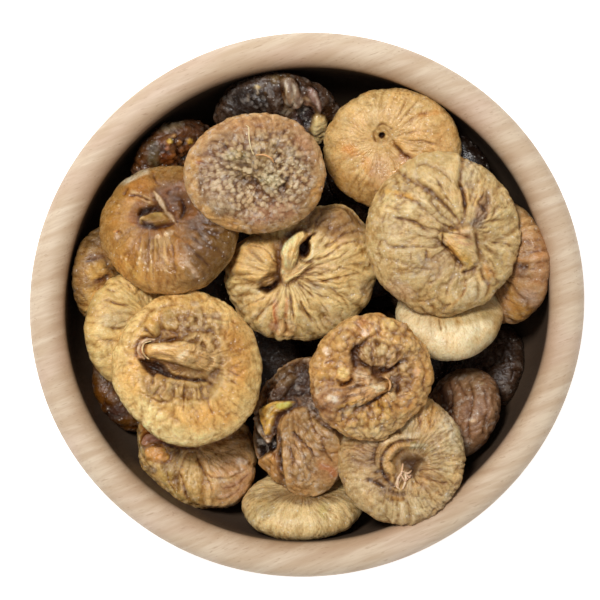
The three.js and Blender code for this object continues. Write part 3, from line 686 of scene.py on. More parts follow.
# How each seen fig looks. Places are in millimetres in the plan of the bowl, counted from the fig's own
# middle, +X to the right and +Y to the back. What the numbers of a list mean stands with the function of
# the same name in Skin. ribs, fine and crinkle are a count or size, a depth and a shade; the other numbers
# on the first lines are the skin's colour, how floury it is, where its ribs start and how they stretch.
LOOKS = {
    # Straw-coloured, with two deep pleats behind a neck that bends towards the front
    "fig_top_right": dict(
        slot="skin_pale", base=(208, 180, 128), bloom=0.35, centre=(8, -1), ribs=(29, 0.75, 0.42),
        fine=(82, 0.28, 0.11), crinkle=(2.7, 0.43, 0.11), edge=((226, 196, 140), 0.5),
        fans=[
            ((8, 2), 30, 0.6, 0.35, 14, (10, 8), (12, 18), (20, 16), (24, 6), (24, -8), (14, -8), (10,
             -2)),
            ((8, -6), 22, 0.4, 0.25, 18, (4, -11), (9, -11), (15, -16), (8, -24), (-4, -24), (-2, -14)),
        ],
        areas=[
            (0.8, 1.6, (210, 182, 130), 0.3, 0.35, (6, 5), (6.3, 9), (6, 13), (4.8, 16), (6, 27), (0,
             30), (-12, 27), (-14, 20), (-5, 13.6), (-1, 10.6), (2.2, 7.2), (4.6, 4.4), (5.2, 3.4)),
            (-0.8, 1.6, (160, 132, 104), 0.6, 0, (10.4, 8.6), (11.6, 12), (13.4, 14), (15, 11), (13.8,
             7.6), (12.8, 5), (10, 3.4), (9, 1.6), (8.6, 4), (10.8, 6)),
            (0.9, 1.6, (216, 184, 132), 0.5, 0.1, (-0.4, 0), (2, 1.9), (5, 2.2), (7, 3), (9, 2.4), (9.8,
             0), (10.6, -3), (10.6, -8), (9, -10.3), (6.8, -10.3), (5, -8.6), (3, -5.6), (0.6, -3.2)),
        ],
        # The cream strokes are partly the skin's pale ridges and partly painted highlights on them
        lines=[
            (0.8, (208, 164, 80), 0.8, (0.8, -2.4), (3.6, -5.4), (6.4, -8.8)),
            (0.9, (214, 172, 88), 0.7, (5.4, -6), (8, -8.6), (8.6, -9.6)),
            (0.8, (232, 208, 176), 0.7, (1.6, 0.4), (5, 0.6), (9, 1)),
            (0.5, (190, 142, 112), 0.6, (4, -2), (6.6, -3), (9.6, -2.6)),
            (0.5, (170, 118, 76), 0.6, (3, -0.6), (6, -1), (9, -0.6)),
            (0.5, (232, 186, 84), 0.7, (1, 2), (2.6, 1.2), (4.4, 1.2)),
            (0.7, (220, 172, 84), 0.7, (-16, 13), (-11, 11.4), (-7, 9.4)),
            (0.8, (236, 214, 168), 0.6, (-12, 14.4), (-6, 10.6), (-1, 6.4)),
            (0.8, (234, 214, 170), 0.5, (-16, 10), (-10, 9), (-4, 5)),
            (0.9, (234, 212, 168), 0.5, (-18, 3), (-11, 2.6), (-5, 0), (-1, 0.6)),
            (1.6, (236, 216, 178), 0.7, (8.6, -12.6), (8.6, -17), (6, -21)),
            (1.2, (234, 214, 178), 0.6, (11.6, -13), (12, -17), (9, -21)),
            (0.6, (196, 140, 70), 0.7, (12.4, -9.4), (13.8, -13), (13.6, -17)),
            (0.5, (206, 150, 76), 0.6, (6.4, -13.6), (6.6, -17), (4, -20), (1.4, -22)),
            (0.7, (232, 210, 170), 0.6, (14, -4), (18, -4.4), (21, -6)),
            (0.7, (232, 210, 170), 0.6, (13, -1.4), (18, -1.2), (22, -1)),
            (0.4, (232, 210, 168), 0.6, (5, 15), (5.6, 10), (5.6, 6)),
            (0.7, (168, 144, 118), 0.6, (-8, -6), (-6, -9), (-2, -11)),
        ],
        creases=[
            (0.55, 2.2, (4.9, 17), (5.6, 13), (6.4, 9), (6.4, 5)),
            (0.4, 0.5, (6, 23), (5.2, 19.5), (5.5, 16)),
            (0.5, 1.3, (12.6, 15), (11.7, 11.5), (10.5, 9.6), (12, 8), (13, 6), (12.4, 4.6), (10, 3.6),
             (9.2, 1.6)),
            (0.35, 0.6, (10.4, 13), (9.2, 10.2), (8.5, 8)),
            (0.4, 0.9, (-9.5, 17), (-5, 14), (-2, 11), (2, 7), (4.2, 4), (3.9, 2)),
            (0.35, 0.6, (-3, 18), (-1, 14.5), (0.6, 11.5), (2.6, 8.4)),
            (0.3, 0.5, (-1.5, 14), (1, 10.5), (3.6, 7.4)),
            (0.35, 0.6, (-14, 19), (-9, 15.5), (-4, 12), (-0.5, 9)),
            (0.4, 0.8, (-4, 5.6), (-1, 3.6), (2, 2), (4.2, 2)),
            (0.55, 0.6, (-16, 12.6), (-12, 11), (-8, 9.8), (-6.5, 8)),
            (0.35, 0.6, (-16.5, 7.8), (-10, 7.5)),
            (0.6, 0.7, (-17.5, 5.4), (-12, 4.7), (-8, 3.4), (-5.5, 1.5), (-3, 0)),
            (0.4, 0.3, (-19, 0.3), (-15, 0), (-11, 0.4)),
            (0.4, 0.7, (-18.5, -3.9), (-10, -3.7), (-3, -4), (0, -3.7)),
            (0.4, 0.6, (-15, -10.5), (-12, -11), (-8, -10.2), (-4, -10.6), (0, -10)),
            (0.7, 0.5, (-5, -4), (-5.3, -8.5)), (0.5, 0.3, (-9.8, -5), (-10, -9)),
            (0.6, 1.5, (-0.3, 2.4), (-0.2, -2.5), (2.5, -5), (4.8, -8.5), (5.6, -10.2)),
            (0.6, 1.4, (4.8, -11.8), (8, -11.2), (10.8, -9.6)),
            (0.55, 0.9, (10.8, -9.5), (12, -13), (13.5, -15), (13.2, -18), (11.4, -20)),
            (0.4, 0.5, (5, -11), (3, -14), (1, -17), (1, -20)),
            (0.35, 0.4, (6.6, -12.5), (6.8, -16), (5, -20)),
            (0.35, 0.6, (13.5, -2.6), (18, -2.8), (21.7, -4.4)),
            (0.4, 0.5, (13, -6.5), (15, -9), (16.5, -12)),
            (0.5, 0.8, (2.4, -20.6), (0.6, -22.4), (0, -24)),
            (0.4, 0.5, (0, -11), (-3, -14), (-5.4, -15.4)),
            (0.4, 0.4, (-9, -20), (-5, -20.4), (-1, -18.6)), (0.5, 0.8, (9.6, 1), (10, -2), (10.4, -5)),
            (0.3, 0.4, (15, 9), (18, 8), (20.6, 8.6)),
        ],
        patches=[
            (7, -7.5, 3.4, 1.6, -60, (214, 176, 84), 0.75), (6, 0, 4, 2.6, 10, PINK, 0.4),
            (2.5, -3.6, 3.4, 0.9, -50, ORANGE, 0.5), (14, -11, 3, 1.2, -50, ORANGE, 0.45),
            (10, -16, 4, 3, 60, CREAM, 0.6), (-13, 5, 4, 1.2, -10, MAUVE, 0.5),
            # The mauve patch at (11.5, 7) and the grey-purple one at (10, 3.6) are painted shadow beside the
            # neck
            (-13, -17, 5, 3, -40, PINK, 0.5), (11.5, 7, 3.4, 2.4, 60, MAUVE, 0.75),
            (10, 3.6, 2.6, 1.8, 40, (118, 98, 92), 0.65), (-13, 12, 6, 1, -14, (222, 178, 92), 0.6),
            (-4, 7, 4, 2, -40, (190, 172, 136), 0.5), (8, 20, 3, 4, 0, (226, 208, 176), 0.5),
            (-14, 8, 7, 4, -14, (230, 208, 158), 0.6), (-15, -1, 6, 2, 0, (228, 206, 160), 0.5),
            (-3, -10, 5, 4, 20, (180, 152, 116), 0.55), (-8, -5, 9, 7, 0, (200, 176, 128), 0.4),
        ],
    ),
    # A flat brown face, olive in the middle, covered in pale grains, with a thin thread lying on it
    "fig_top_back": dict(
        slot="skin_brown", base=(144, 106, 68), bloom=0.55, centre=(3, 2), ribs=(38, 0.4, 0.2),
        fine=(75, 0.22, 0.08), crinkle=(3.4, 0.31, 0.11), edge=((222, 184, 134), 0.8),
        beads=[
            (1.5, 0.5, 0.2, (226, 206, 174), 0.6, 1, -1, 18, 14, 0),
            (0.9, 0.2, 0.1, (236, 222, 192), 0.7, 9, -1, 8, 6, 0),
            (2.1, 0.4, 0.15, (196, 162, 108), 0.4, 1, 8, 12, 6, 0),
        ],
        rolls=[(0.9, 0.7, (0.3, 5.2), (3, 5.1), (5.2, 3.8)), (3, 0.5, (3, -2), (7, -3))],
        creases=[
            (0.45, 1.1, (8.4, 6.4), (7, 4.8), (5.6, 3.2), (5.2, 1)),
            (0.4, 0.5, (5.6, 3), (8, 2), (10.2, 2.4)),
            (0.5, 0.6, (-9, 1), (-5, 0.4), (-2.6, -2.4), (-1, -2)),
            (0.6, 0.7, (7.4, -4.6), (9.6, -3.6), (10, -1)),
            (0.3, 0.4, (-0.4, 10), (0.4, 13), (-0.4, 15.4)), (0.4, 0.4, (8, 10.6), (9, 12.6), (11, 14)),
            (0.4, 0.5, (-14, 9.6), (-10, 9), (-6.6, 5.6)), (0.35, 0.4, (-17, 3), (-15, 2.8)),
        ],
        hollows=[(-1, -2.4, 3, 1.4, -20, 0.7, 0.35), (8.6, -4.4, 2.4, 1.4, 30, 0.8, 0.4)],
        patches=[
            (0, 1.5, 10, 6, -8, (142, 120, 78), 0.8), (-6, 5.4, 3, 1.6, 0, (136, 128, 70), 0.7),
            (5, -2.2, 4, 2.4, 0, (132, 122, 72), 0.75), (5.5, 7.4, 2.6, 3, 20, (140, 122, 76), 0.7),
            (9, -2.4, 3, 2, 0, (110, 96, 78), 0.6), (12, 6.5, 4, 2, 0, (168, 160, 138), 0.6),
            (0, 14.5, 16, 2.6, 0, (190, 142, 92), 0.6), (15, 8, 3, 6, 20, (196, 150, 122), 0.55),
            (-11, -8, 4, 4, 0, (204, 182, 154), 0.6), (-13, -4, 5, 3, 0, (170, 138, 112), 0.5),
            (5, -12.4, 9, 3, 12, (192, 146, 116), 0.7), (-7, -15.4, 5, 1.8, -12, (232, 184, 116), 0.7),
            (-14.5, -12, 3.4, 1.6, -50, (232, 190, 126), 0.7),
            (-18.6, -4, 1.6, 5, 10, (228, 184, 128), 0.7), (-18, 2.6, 2, 3, 0, (214, 164, 92), 0.6),
            (-16.4, 3, 1.6, 0.7, 0, (160, 88, 48), 0.8), (18.6, -6, 1.6, 5, -20, (226, 170, 96), 0.8),
            (-2.4, 10, 1.4, 3, 0, (168, 130, 106), 0.4),
        ],
        threads=[
            (0.22, 0.35, (238, 222, 178), (-2.7, 14.2), (-1.9, 13.4), (-1.8, 10.4), (-1.2, 7.2), (-0.4,
             5.2)),
            (0.3, 0.75, (228, 172, 112), (0.2, 5.2), (2.8, 5.2), (4.8, 4.2), (5.6, 3)),
        ],
    ),
    # Golden, with a long neck that lies across a sunk middle and ends in a curled stub
    "fig_top_left": dict(
        slot="skin_golden", base=(232, 188, 116), bloom=0.12, centre=(1, 1), ribs=(34, 0.35, 0.15),
        fine=(68, 0.21, 0.072), crinkle=(3.6, 0.36, 0.072), edge=((252, 224, 162), 0.8),
        beads=[
            (2.6, 0.8, 0.25, (206, 178, 126), 0.5, 3, 12, 9, 6, -10),
            (1.4, 0.35, 0.2, (232, 208, 168), 0.5, 4, 9, 8, 9, 20),
            (2.4, 0.7, 0.2, (208, 178, 124), 0.4, -2, -7, 12, 5, 0),
            (2.2, 0.9, 0.3, (232, 206, 160), 0.5, 4, 4, 7, 6, 0),
        ],
        fans=[
            ((0, 0), 40, 0.4, 0.25, 18, (11, 8), (20, 10), (24, 0), (22, -12), (12, -18), (10, -8)),
            ((0, 2), 46, 0.35, 0.2, 24, (-25, 0), (-16, 1), (-15, 10), (-8, 18), (4, 19), (8, 25), (-10,
             27), (-23, 14)),
            ((0, 6), 35, 0.55, 0.35, 20, (-16, -10), (-10, -11), (0, -11), (12, -9), (16, -16), (0, -23),
             (-14, -20)),
        ],
        areas=[
            (-1.1, 3.4, (192, 158, 102), 0.6, 0, (-15, -3), (-12, -8), (-6, -10.6), (1, -11), (7, -9.4),
             (11.6, -4), (11, 4), (10, 12), (5, 17), (-4, 18.4), (-8.6, 16), (-11, 11), (-15, 9)),
            (0.7, 2, (180, 146, 84), 0.5, 0.1, (-14, 13), (-12, 15.6), (-9, 14), (-7.8, 11), (-9.4, 9.6),
             (-12.4, 10.4)),
            (0.6, 1.6, (182, 152, 96), 0.4, 0.1, (-8, 15), (-6.8, 17.6), (-4, 17.6), (-3.6, 14), (-5,
             11), (-7.4, 12)),
            (-2.0, 1.5, (132, 102, 84), 0.85, 0.08, (-14.6, 3.2), (-11, 3.4), (-7, 2.4), (-5, 1), (-3.4,
             -1), (0, -2.1), (4, -2.9), (6.2, -3.2), (6.6, -4), (4.6, -4.1), (0, -3.6), (-3, -3.4), (-6,
             -2.4), (-8.5, -1.8), (-10, -2.8), (-12.6, -0.8), (-13.9, 0.8)),
            (0.9, 2.2, (214, 176, 122), 0.4, 0.1, (-12.8, 7.8), (-9, 8.1), (-5, 8), (-1, 10), (3, 12),
             (8, 9.6), (11, 4), (9.4, -0.4), (6.6, -2.7), (2, -2.6), (-2, -0.7), (-5, 1.6), (-8, 2.7),
             (-12.2, 2.9)),
            (0.7, 0.5, (206, 152, 122), 0.9, 0.4, (-14.9, 5), (-14.7, 7.6), (-13.2, 9.2), (-11, 9),
             (-12.4, 7.2), (-12.9, 5.4), (-12.2, 3.4), (-13.4, 3), (-14.6, 3.6)),
        ],
        lines=[
            (0.7, (112, 96, 76), 0.8, (-12, 1.2), (-8.6, 0.4), (-5, -1.2)),
            (0.5, (86, 60, 52), 0.7, (-13.6, 2.4), (-9, 1.9), (-6, 0.6)),
            (1.0, (240, 212, 172), 0.7, (-11, 6.4), (-6, 6.2), (-2, 7)),
            (0.9, (244, 220, 190), 0.7, (-3, 2.6), (0, 4.6), (0, 6)),
            (0.9, (240, 212, 170), 0.7, (-1.6, -0.8), (1.6, -1.4), (4, -1.6)),
            (0.5, (236, 214, 176), 0.8, (6, -1.6), (7.6, -1), (9, 0)),
            (0.5, (250, 226, 170), 0.8, (8, 14), (12, 14), (14.6, 14.4)),
            (0.5, (150, 110, 70), 0.6, (-11, 4.4), (-6, 4), (-2, 1.4)),
            (0.4, (160, 118, 74), 0.5, (-7, 7.2), (-3, 6.4), (2, 8)),
            # The bright cream stroke along the lower-left rim is partly the skin's pale rim and partly
            # painted light on it
            (1.2, (250, 224, 166), 0.6, (-20, -9), (-15, -15), (-8, -20.4), (2, -22)),
        ],
        creases=[
            (1.7, 1.3, (-13.6, 1.8), (-10.4, 0.8), (-7, -0.4), (-3.4, -1.8)),
            (0.6, 1.1, (-5, -1.2), (-1, -2.6), (3, -3.2), (6.4, -3.6), (8.6, -5.2), (9.4, -6.6)),
            (0.6, 1.4, (-15, 10), (-12.4, 9.3), (-9.6, 8.8), (-7.6, 10.4), (-8, 13.4)),
            (0.6, 1, (-13, 13.4), (-11.2, 10.8), (-9, 9)), (0.7, 0.9, (-9, 8.4), (-5, 8.6), (-2, 10)),
            (0.6, 0.6, (-8.4, 12), (-5, 11.4), (-3.4, 9.6)),
            (0.45, 0.8, (-15, -6.4), (-12, -8), (-8, -10), (-3.6, -9.8)),
            (0.45, 0.6, (-10, -1.6), (-10, -5.2)), (0.4, 0.6, (-6, -2.4), (-6.2, -6.4)),
            (0.4, 0.5, (-3.4, -4), (-3.6, -9)), (0.35, 0.5, (0, -4), (-0.6, -9), (-0.8, -13.4)),
            (0.4, 0.6, (6.4, -6), (7, -11), (8.6, -14.6)), (0.3, 0.4, (3.4, -5), (3.6, -10)),
            (0.35, 0.4, (-14, -3), (-16, -6)), (0.4, 0.5, (7, -2), (9, 0)),
            (0.35, 0.5, (12, 0), (16, -2.4), (18.4, -3)), (0.4, 0.5, (13, -3.4), (17, -6)),
            (0.9, 0.4, (-14.6, 13), (-11, 17.4), (-5, 19), (2, 18.6)),
            (0.4, 0.4, (10, 14.4), (14, 14), (17, 12)), (0.5, 0.6, (1, 14), (4, 15), (6, 17)),
            (0.5, 0.5, (3, 6.6), (3, 9.6)),
        ],
        patches=[
            (-8.4, 0, 4.6, 2, -14, PLUM, 0.8), (-7, -2.4, 4, 2, -10, (150, 128, 90), 0.6),
            (4, 13, 8, 5, 0, (156, 124, 88), 0.8), (-2, -7, 11, 4.4, 0, (168, 140, 92), 0.7),
            (5, 2, 8, 6, 0, (176, 146, 98), 0.6), (7, 15, 4, 1.6, 0, (142, 108, 94), 0.5),
            (5, 6, 1.8, 1.4, 0, (234, 220, 196), 0.8), (0, 2.4, 2.2, 1.2, 30, (232, 206, 168), 0.6),
            (8, 4, 3, 3, 0, (176, 144, 106), 0.5), (-6.4, 15.4, 3, 2, 0, (196, 160, 100), 0.6),
            (-6.6, 9.4, 3, 1.2, 0, (150, 106, 66), 0.6), (16, 6, 5, 9, 0, (206, 152, 80), 0.7),
            # The bright cream patches at the lower left are partly the skin's pale rim and partly painted
            # light on it
            (-12, -14, 12, 4, -38, (255, 230, 170), 0.9), (-1, -20.4, 13, 3.4, 0, (255, 228, 166), 0.9),
            (-3, 21, 12, 2, 0, (226, 174, 98), 0.5), (-3, -7, 8, 3, -8, (200, 168, 110), 0.55),
            (6, -16, 8, 4, 10, (240, 188, 110), 0.5), (-17, -8, 3, 7, 20, (236, 188, 108), 0.5),
            (2.6, 19.6, 1.4, 1, 0, (238, 218, 196), 0.7), (9, 16.4, 1.6, 0.9, 0, (238, 218, 192), 0.6),
        ],
        threads=[
            (0.5, 0.7, (230, 194, 156), (-9.4, 8.7), (-12.2, 8.6), (-14, 6.8), (-14.1, 4.8), (-12.6,
             2.9)),
            (0.28, 1.3, (250, 226, 178), (-10.6, 8.3), (-12.6, 7.6), (-13.1, 5.6), (-12.3, 3.8), (-11.2,
             2.8)),
        ],
    ),
    # Amber and lumpy, with grooves round a neck that lies in the sunk middle
    "fig_top_front": dict(
        slot="skin_amber", base=(206, 158, 98), bloom=0.3, centre=(2, 0), ribs=(19, 0.6, 0.35),
        fine=(52, 0.27, 0.09), crinkle=(2.7, 0.68, 0.13), edge=((222, 182, 124), 0.55),
        beads=[
            (2.6, 0.75, 0.1, (220, 180, 116), 0.5, 0, 1, 21, 21, 0),
            (1.2, 0.2, 0.15, (226, 192, 136), 0.4, 4, 6, 14, 14, 0),
        ],
        areas=[
            (-1.0, 2, (168, 132, 90), 0.5, 0, (-6.6, 9), (-7, 4), (-6, 1), (-1, 0.4), (4, -3.6), (10,
             -5), (14, -1), (13, 5), (8, 9), (2, 12), (-3, 12)),
            (-1.2, 1.5, (124, 92, 74), 0.65, 0.1, (-5.9, 9), (-6.2, 5), (-4.6, 2.8), (-1, 2), (0.4, 0),
             (3, 0.6), (6, 1.4), (9, 3), (11.6, 5), (8.4, 4.8), (6, 3.4), (3.4, 4), (0, 3.8), (-2.8,
             5.6), (-3, 9), (-0.8, 11.4), (-3.4, 10.6)),
            (0.7, 1.6, (190, 150, 112), 0.55, 0.3, (-17, -5), (-12.6, -2.4), (-6.4, -1.4), (-5.6, 1.9),
             (-2.6, 1.8), (0, 0.1), (3.3, -0.5), (4.2, -2), (3.2, -4.3), (0, -6), (-3, -7.2), (-8, -9.2),
             (-12, -10), (-16, -8)),
            (0.8, 3, (206, 158, 90), 0.5, 0.1, (-12, 11), (-8, 12), (-6.4, 8), (-6.8, 4), (-9.6, 4.4),
             (-12, 7)),
            (0.7, 3, (206, 160, 92), 0.5, 0.1, (-16.4, 5), (-13.6, 8.4), (-11, 5), (-10, 1.6), (-13, -1),
             (-16.6, 1)),
        ],
        lines=[
            (1.2, (224, 202, 176), 0.8, (-5, 1.2), (-2.4, 0.8), (0, -1)),
            (0.6, (236, 216, 188), 0.8, (-1, -1.4), (1.6, -2.4), (3.4, -2)),
            (0.7, (234, 214, 176), 0.8, (1, -3.6), (3, -3.4), (3.8, -2.2)),
            (0.8, (216, 196, 172), 0.8, (-9.6, -10.6), (-5, -8.4), (-2.6, -7.8)),
            (0.7, (206, 156, 66), 0.7, (-11, -9.6), (-7, -7.6), (-3, -6.2)),
            (0.8, (196, 146, 52), 0.7, (-1, -8.6), (3, -8), (6.4, -9.6)),
            (0.6, (120, 86, 62), 0.6, (-13, -4), (-8, -3.6), (-3, -2)),
            (0.5, (128, 92, 66), 0.6, (-12, -6.4), (-7, -5.4), (-1, -4)),
            (0.8, (206, 168, 140), 0.7, (-13, -7.6), (-9, -7)),
            # These two near-white strokes at the lower left are painted highlights on specks of sugar
            (0.9, (240, 226, 210), 0.9, (-13, -5.6), (-11, -6.4), (-10, -7.4)),
            (0.7, (240, 226, 206), 0.8, (-16.6, -3), (-15.6, -5)),
            (0.8, (238, 222, 196), 0.8, (-13.6, 8.6), (-12.4, 6.6)),
            (0.8, (236, 208, 190), 0.8, (-3.4, 14), (-1.4, 12.4)),
            (0.8, (180, 122, 50), 0.7, (-9, -15), (-6, -12.6)),
            (0.8, (188, 130, 52), 0.7, (-1.6, -15.6), (-0.4, -11)),
            (0.8, (232, 206, 154), 0.6, (-4, -16), (-3, -12)),
            (0.8, (236, 212, 164), 0.6, (3, -16), (4, -12)),
            (0.9, (236, 212, 160), 0.6, (8, -14), (10, -10)),
            (0.5, (150, 100, 50), 0.6, (1.8, 16), (1.8, 14), (2.6, 12.4)),
        ],
        creases=[
            (0.7, 1.4, (-10, -2.6), (-6.6, -1.4), (-5.2, 0.6)),
            (0.9, 1.5, (-5.2, 9), (-5.6, 5), (-4.2, 2.2)),
            (0.6, 0.9, (-5, 8.4), (-2.4, 10), (-0.8, 12.4)),
            (0.8, 1.7, (0, 0.2), (3, 1), (6, 2), (8, 3.6), (11.4, 5)),
            (0.7, 1.3, (8.4, -1.4), (7.6, -4.6), (8, -7)), (0.6, 1.1, (4, -5.4), (0, -7.6), (-3, -9.6)),
            (0.45, 1.9, (4.2, -0.4), (4.9, -2), (4.2, -4.2)), (0.5, 0.7, (4.6, -6), (6, -9), (6.4, -11)),
            (0.5, 0.8, (1, -18), (2, -20), (5, -20.6)), (0.5, 0.8, (-10.4, -10.4), (-8, -9)),
            (0.4, 0.5, (-14.6, 4), (-12, 5), (-10, 4)), (0.5, 0.5, (6, -20.4), (9, -19.4), (13, -19)),
            (0.5, 0.6, (10, -4.6), (12, -3.8), (14, -5)), (0.4, 0.6, (13.6, 12), (13, 16), (11.6, 18)),
            (0.5, 0.7, (-11, 0), (-8, -2), (-6, -1)), (0.5, 0.6, (9, 0), (12, 0.2), (14, 1.6)),
        ],
        domes=[
            (5, 15.6, 2.4, 0.8, (236, 206, 138)), (3, 8.4, 2, 0.8, (206, 186, 140)),
            (6.2, 7, 1.7, 0.8, (214, 190, 150)), (-1.2, 8, 1.5, 0.6, (190, 168, 128)),
            (10, 3.2, 1.6, 0.8, (206, 178, 132)), (13.6, 1.6, 1.4, 0.6, PINK),
            # The pinkish-white knob at (-13.2, 7.8) is coloured as a painted highlight
            (-8.4, 1.4, 1.8, 0.7, (226, 206, 136)), (-13.2, 7.8, 1.5, 0.6, (236, 206, 180)),
            (1.6, -16.4, 1.8, 0.4, CREAM), (13, 14.6, 1.3, 0.5, (222, 180, 110)),
            (11.6, 9.6, 1.6, 0.6, (216, 176, 116)), (-1.8, 13, 1.4, 0.5, (238, 206, 180)),
            (6.6, -5.4, 1.4, 0.6, (206, 186, 148)), (9.4, 15, 1.2, 0.5, PINK),
        ],
        patches=[
            (-13, -8, 7, 7, -30, (146, 102, 80), 0.65), (-7, 7, 4, 5, 0, (152, 112, 90), 0.5),
            (8, 8, 8, 6, 0, (182, 154, 106), 0.6), (-2.4, 15.4, 3, 2.4, 0, RUST, 0.55),
            (3, 3.6, 7, 3, 10, (136, 116, 80), 0.55), (8, -2, 4, 3, 0, MAUVE, 0.5),
            (2, -16, 11, 3.4, 0, (230, 200, 146), 0.65), (-13, -6, 4, 3, -40, (196, 152, 118), 0.6),
            (-12, 4, 4, 7, 10, (214, 166, 92), 0.5), (0, -12, 8, 3, 0, (214, 164, 88), 0.5),
            (9, 12, 6, 5, 0, (196, 140, 72), 0.5), (-4, -3, 5, 2, 30, (200, 170, 136), 0.6),
            (1.6, -2, 2.6, 1.6, 0, (222, 204, 160), 0.7), (-6, -9.4, 5, 1.2, 32, (226, 200, 158), 0.6),
            (3, -9, 4, 1.6, -10, (206, 168, 70), 0.5), (17, 2, 1.6, 5, 0, (222, 172, 96), 0.5),
        ],
        threads=[(0.32, 0.7, (232, 184, 128), (4.2, 0.2), (5.4, -0.9), (5.7, -2.6), (5.2, -4))],
    ),
    # Straw-coloured, with ribs that sweep from a hooked neck beside a hole, and a cleft on its left
    "fig_middle_centre": dict(
        slot="skin_pale", base=(230, 202, 144), bloom=0.25, centre=(-5, -1), ribs=(32, 0.75, 0.3),
        fine=(90, 0.27, 0.09), crinkle=(3.8, 0.36, 0.072), stretch=16, edge=((220, 190, 132), 0.4),
        fans=[
            ((-3, -4), 32, 0.6, 0.4, 20, (-25, -2), (-14, -6.6), (-9.6, -8.6), (-14, -17), (-20, -15),
             (-25, -8)),
            ((-4.4, -1), 29, 0.9, 0.4, 20, (-10.6, -9), (-7, -5), (-3, -4), (4, -9), (9, -18), (0, -24),
             (-10, -24), (-18, -19)),
            ((-4, -2), 35, 0.7, 0.3, 26, (2, 3), (-3, -2), (4, -9), (14, -16), (23, -9), (23, 3), (20,
             9), (10, 8)),
            ((-8, 0), 23, 0.35, 0.25, 14, (-23, 3), (-18, 8), (-8, 9), (-7, 2), (-8, -4), (-20, -4)),
        ],
        areas=[
            (2.2, 4.5, (212, 170, 104), 0.6, 0, (-20, 8), (-14, 10.4), (-8, 9.6), (-6.8, 6), (-6.8, 1),
             (-7.6, -3), (-10, -5.4), (-14, -5.4), (-20, -3.6), (-23.4, 0)),
            # The sunk brown region at the upper right is partly dusty skin and partly painted shade under the
            # figs beside it
            (-0.9, 3, (170, 134, 86), 0.75, 0, (-1, 14), (3, 21), (12, 23.5), (19, 19), (21, 12), (17,
             9), (9, 8.6), (5, 11)),
            # The dark brown cleft under the left lobe holds painted shade
            (-2.4, 2.2, (96, 66, 38), 0.8, 0.4, (-15.4, -6), (-12, -5.9), (-8.6, -4.6), (-6.9, -2.4),
             (-6.7, -4.2), (-8.2, -6.4), (-10.4, -8.2), (-12.8, -7.6)),
            (1.5, 0.9, (236, 200, 146), 0.8, 0.35, (-6.9, -2.6), (-7, 3), (-6, 7), (-3.4, 10), (0.4,
             11.6), (1.2, 9.6), (-0.4, 7.6), (-1.2, 5), (-0.4, 3), (1, 2), (3, 1), (0, -2), (-3, -4),
             (-5, -5)),
        ],
        lines=[
            (0.4, (238, 224, 188), 0.9, (-1.4, 4), (0, 2.4), (2.4, 2.8), (3.4, 5.4), (3, 8.8)),
            (0.45, (248, 224, 182), 0.95, (-5.6, -3), (-6.3, 1), (-6, 5), (-4, 8.6), (-1, 10.8)),
            (0.4, (208, 178, 118), 0.8, (-3.6, 0), (-4.2, 4), (-2.8, 7.4)),
            (0.45, (246, 218, 170), 0.9, (-4.8, 0), (-5, 4), (-3.6, 7.6), (-1.4, 9.6)),
            (0.5, (204, 172, 110), 0.8, (-2.2, 3), (-2.4, 6), (-1, 9)),
            (0.4, (248, 222, 180), 0.95, (-0.6, 8.4), (-1.5, 6), (-1.2, 3.8), (0.2, 2.9), (1.8, 3.4)),
            (0.6, (232, 200, 176), 0.8, (1.4, 8.8), (2.4, 10.4), (1.6, 11.4)),
            (0.6, (226, 204, 158), 0.6, (-22, -1), (-16, -4.4)),
            (0.8, (232, 212, 168), 0.7, (-23, -6), (-16, -6.6), (-12, -8)),
            (0.7, (234, 214, 172), 0.7, (-22.4, -9.6), (-16, -9.4), (-10.6, -9.6)),
            (0.7, (236, 214, 170), 0.7, (-12.4, -11), (-15, -15), (-16, -18)),
            (0.8, (238, 218, 176), 0.7, (-9.4, -9.6), (-12, -15), (-12.6, -19)),
            (0.7, (236, 214, 172), 0.6, (-3.6, -9), (-3.6, -15), (-3, -20)),
            (0.7, (232, 206, 160), 0.6, (-1.4, -10), (1, -16), (3, -19)),
            (1.4, (226, 190, 140), 0.7, (-1, -1), (4, -0.4), (9, 0.4)),
            (0.9, (232, 206, 164), 0.6, (-8.6, -8.4), (-7.4, -14), (-7, -20)),
            (0.8, (110, 80, 42), 0.6, (-6.6, 8), (-4, 10.6), (0, 12.4), (4, 12.6)),
        ],
        creases=[
            (0.5, 0.9, (-4, -7), (-3, -12), (-2.5, -18)),
            (0.45, 1.2, (-1.4, -8.6), (0.6, -12), (3.4, -17.4)),
            (0.4, 0.7, (-2, -4), (2, -7.4), (4.4, -9.8)),
            (0.5, 0.8, (-7.4, -9), (-12, -13), (-15.4, -17)),
            (0.4, 0.6, (-6.6, -8.6), (-9, -13), (-9.4, -18.6)),
            (0.5, 0.8, (-1, -2.8), (5, -4.2), (12, -2.6), (19, -1.4)),
            (0.45, 0.8, (2, 2), (8, 4), (13, 7.4), (19, 8.6)),
            (0.35, 0.6, (3, 0.4), (8, 2), (12, 3.6), (14.4, 6)),
            (0.4, 0.6, (7, -6), (10, -7), (13, -10), (15, -14)),
            (0.35, 0.5, (5, -10), (7.4, -13), (9, -16)),
            (0.9, 2.4, (-13.6, -6.2), (-11, -6.6), (-8.6, -5.6), (-7, -3.4)),
            (0.6, 1.6, (-6.8, 6), (-6.4, 2), (-7, -2)), (0.5, 1, (1.6, 8), (2.6, 9.8), (4.6, 11)),
            (0.35, 0.4, (-22, 2), (-16, 1), (-10, -1.6)),
            (0.35, 0.4, (-23, -3.4), (-17, -3.6), (-13, -5)),
            (0.35, 0.5, (-22.4, -9), (-17, -8.4), (-11, -7.6)),
            (0.35, 0.5, (-20, -13), (-15, -10.6), (-10, -8.6)),
            (0.3, 0.4, (-17, 6), (-12, 5.6), (-8.6, 3)), (0.4, 0.6, (4, 6), (10, 8), (14, 12)),
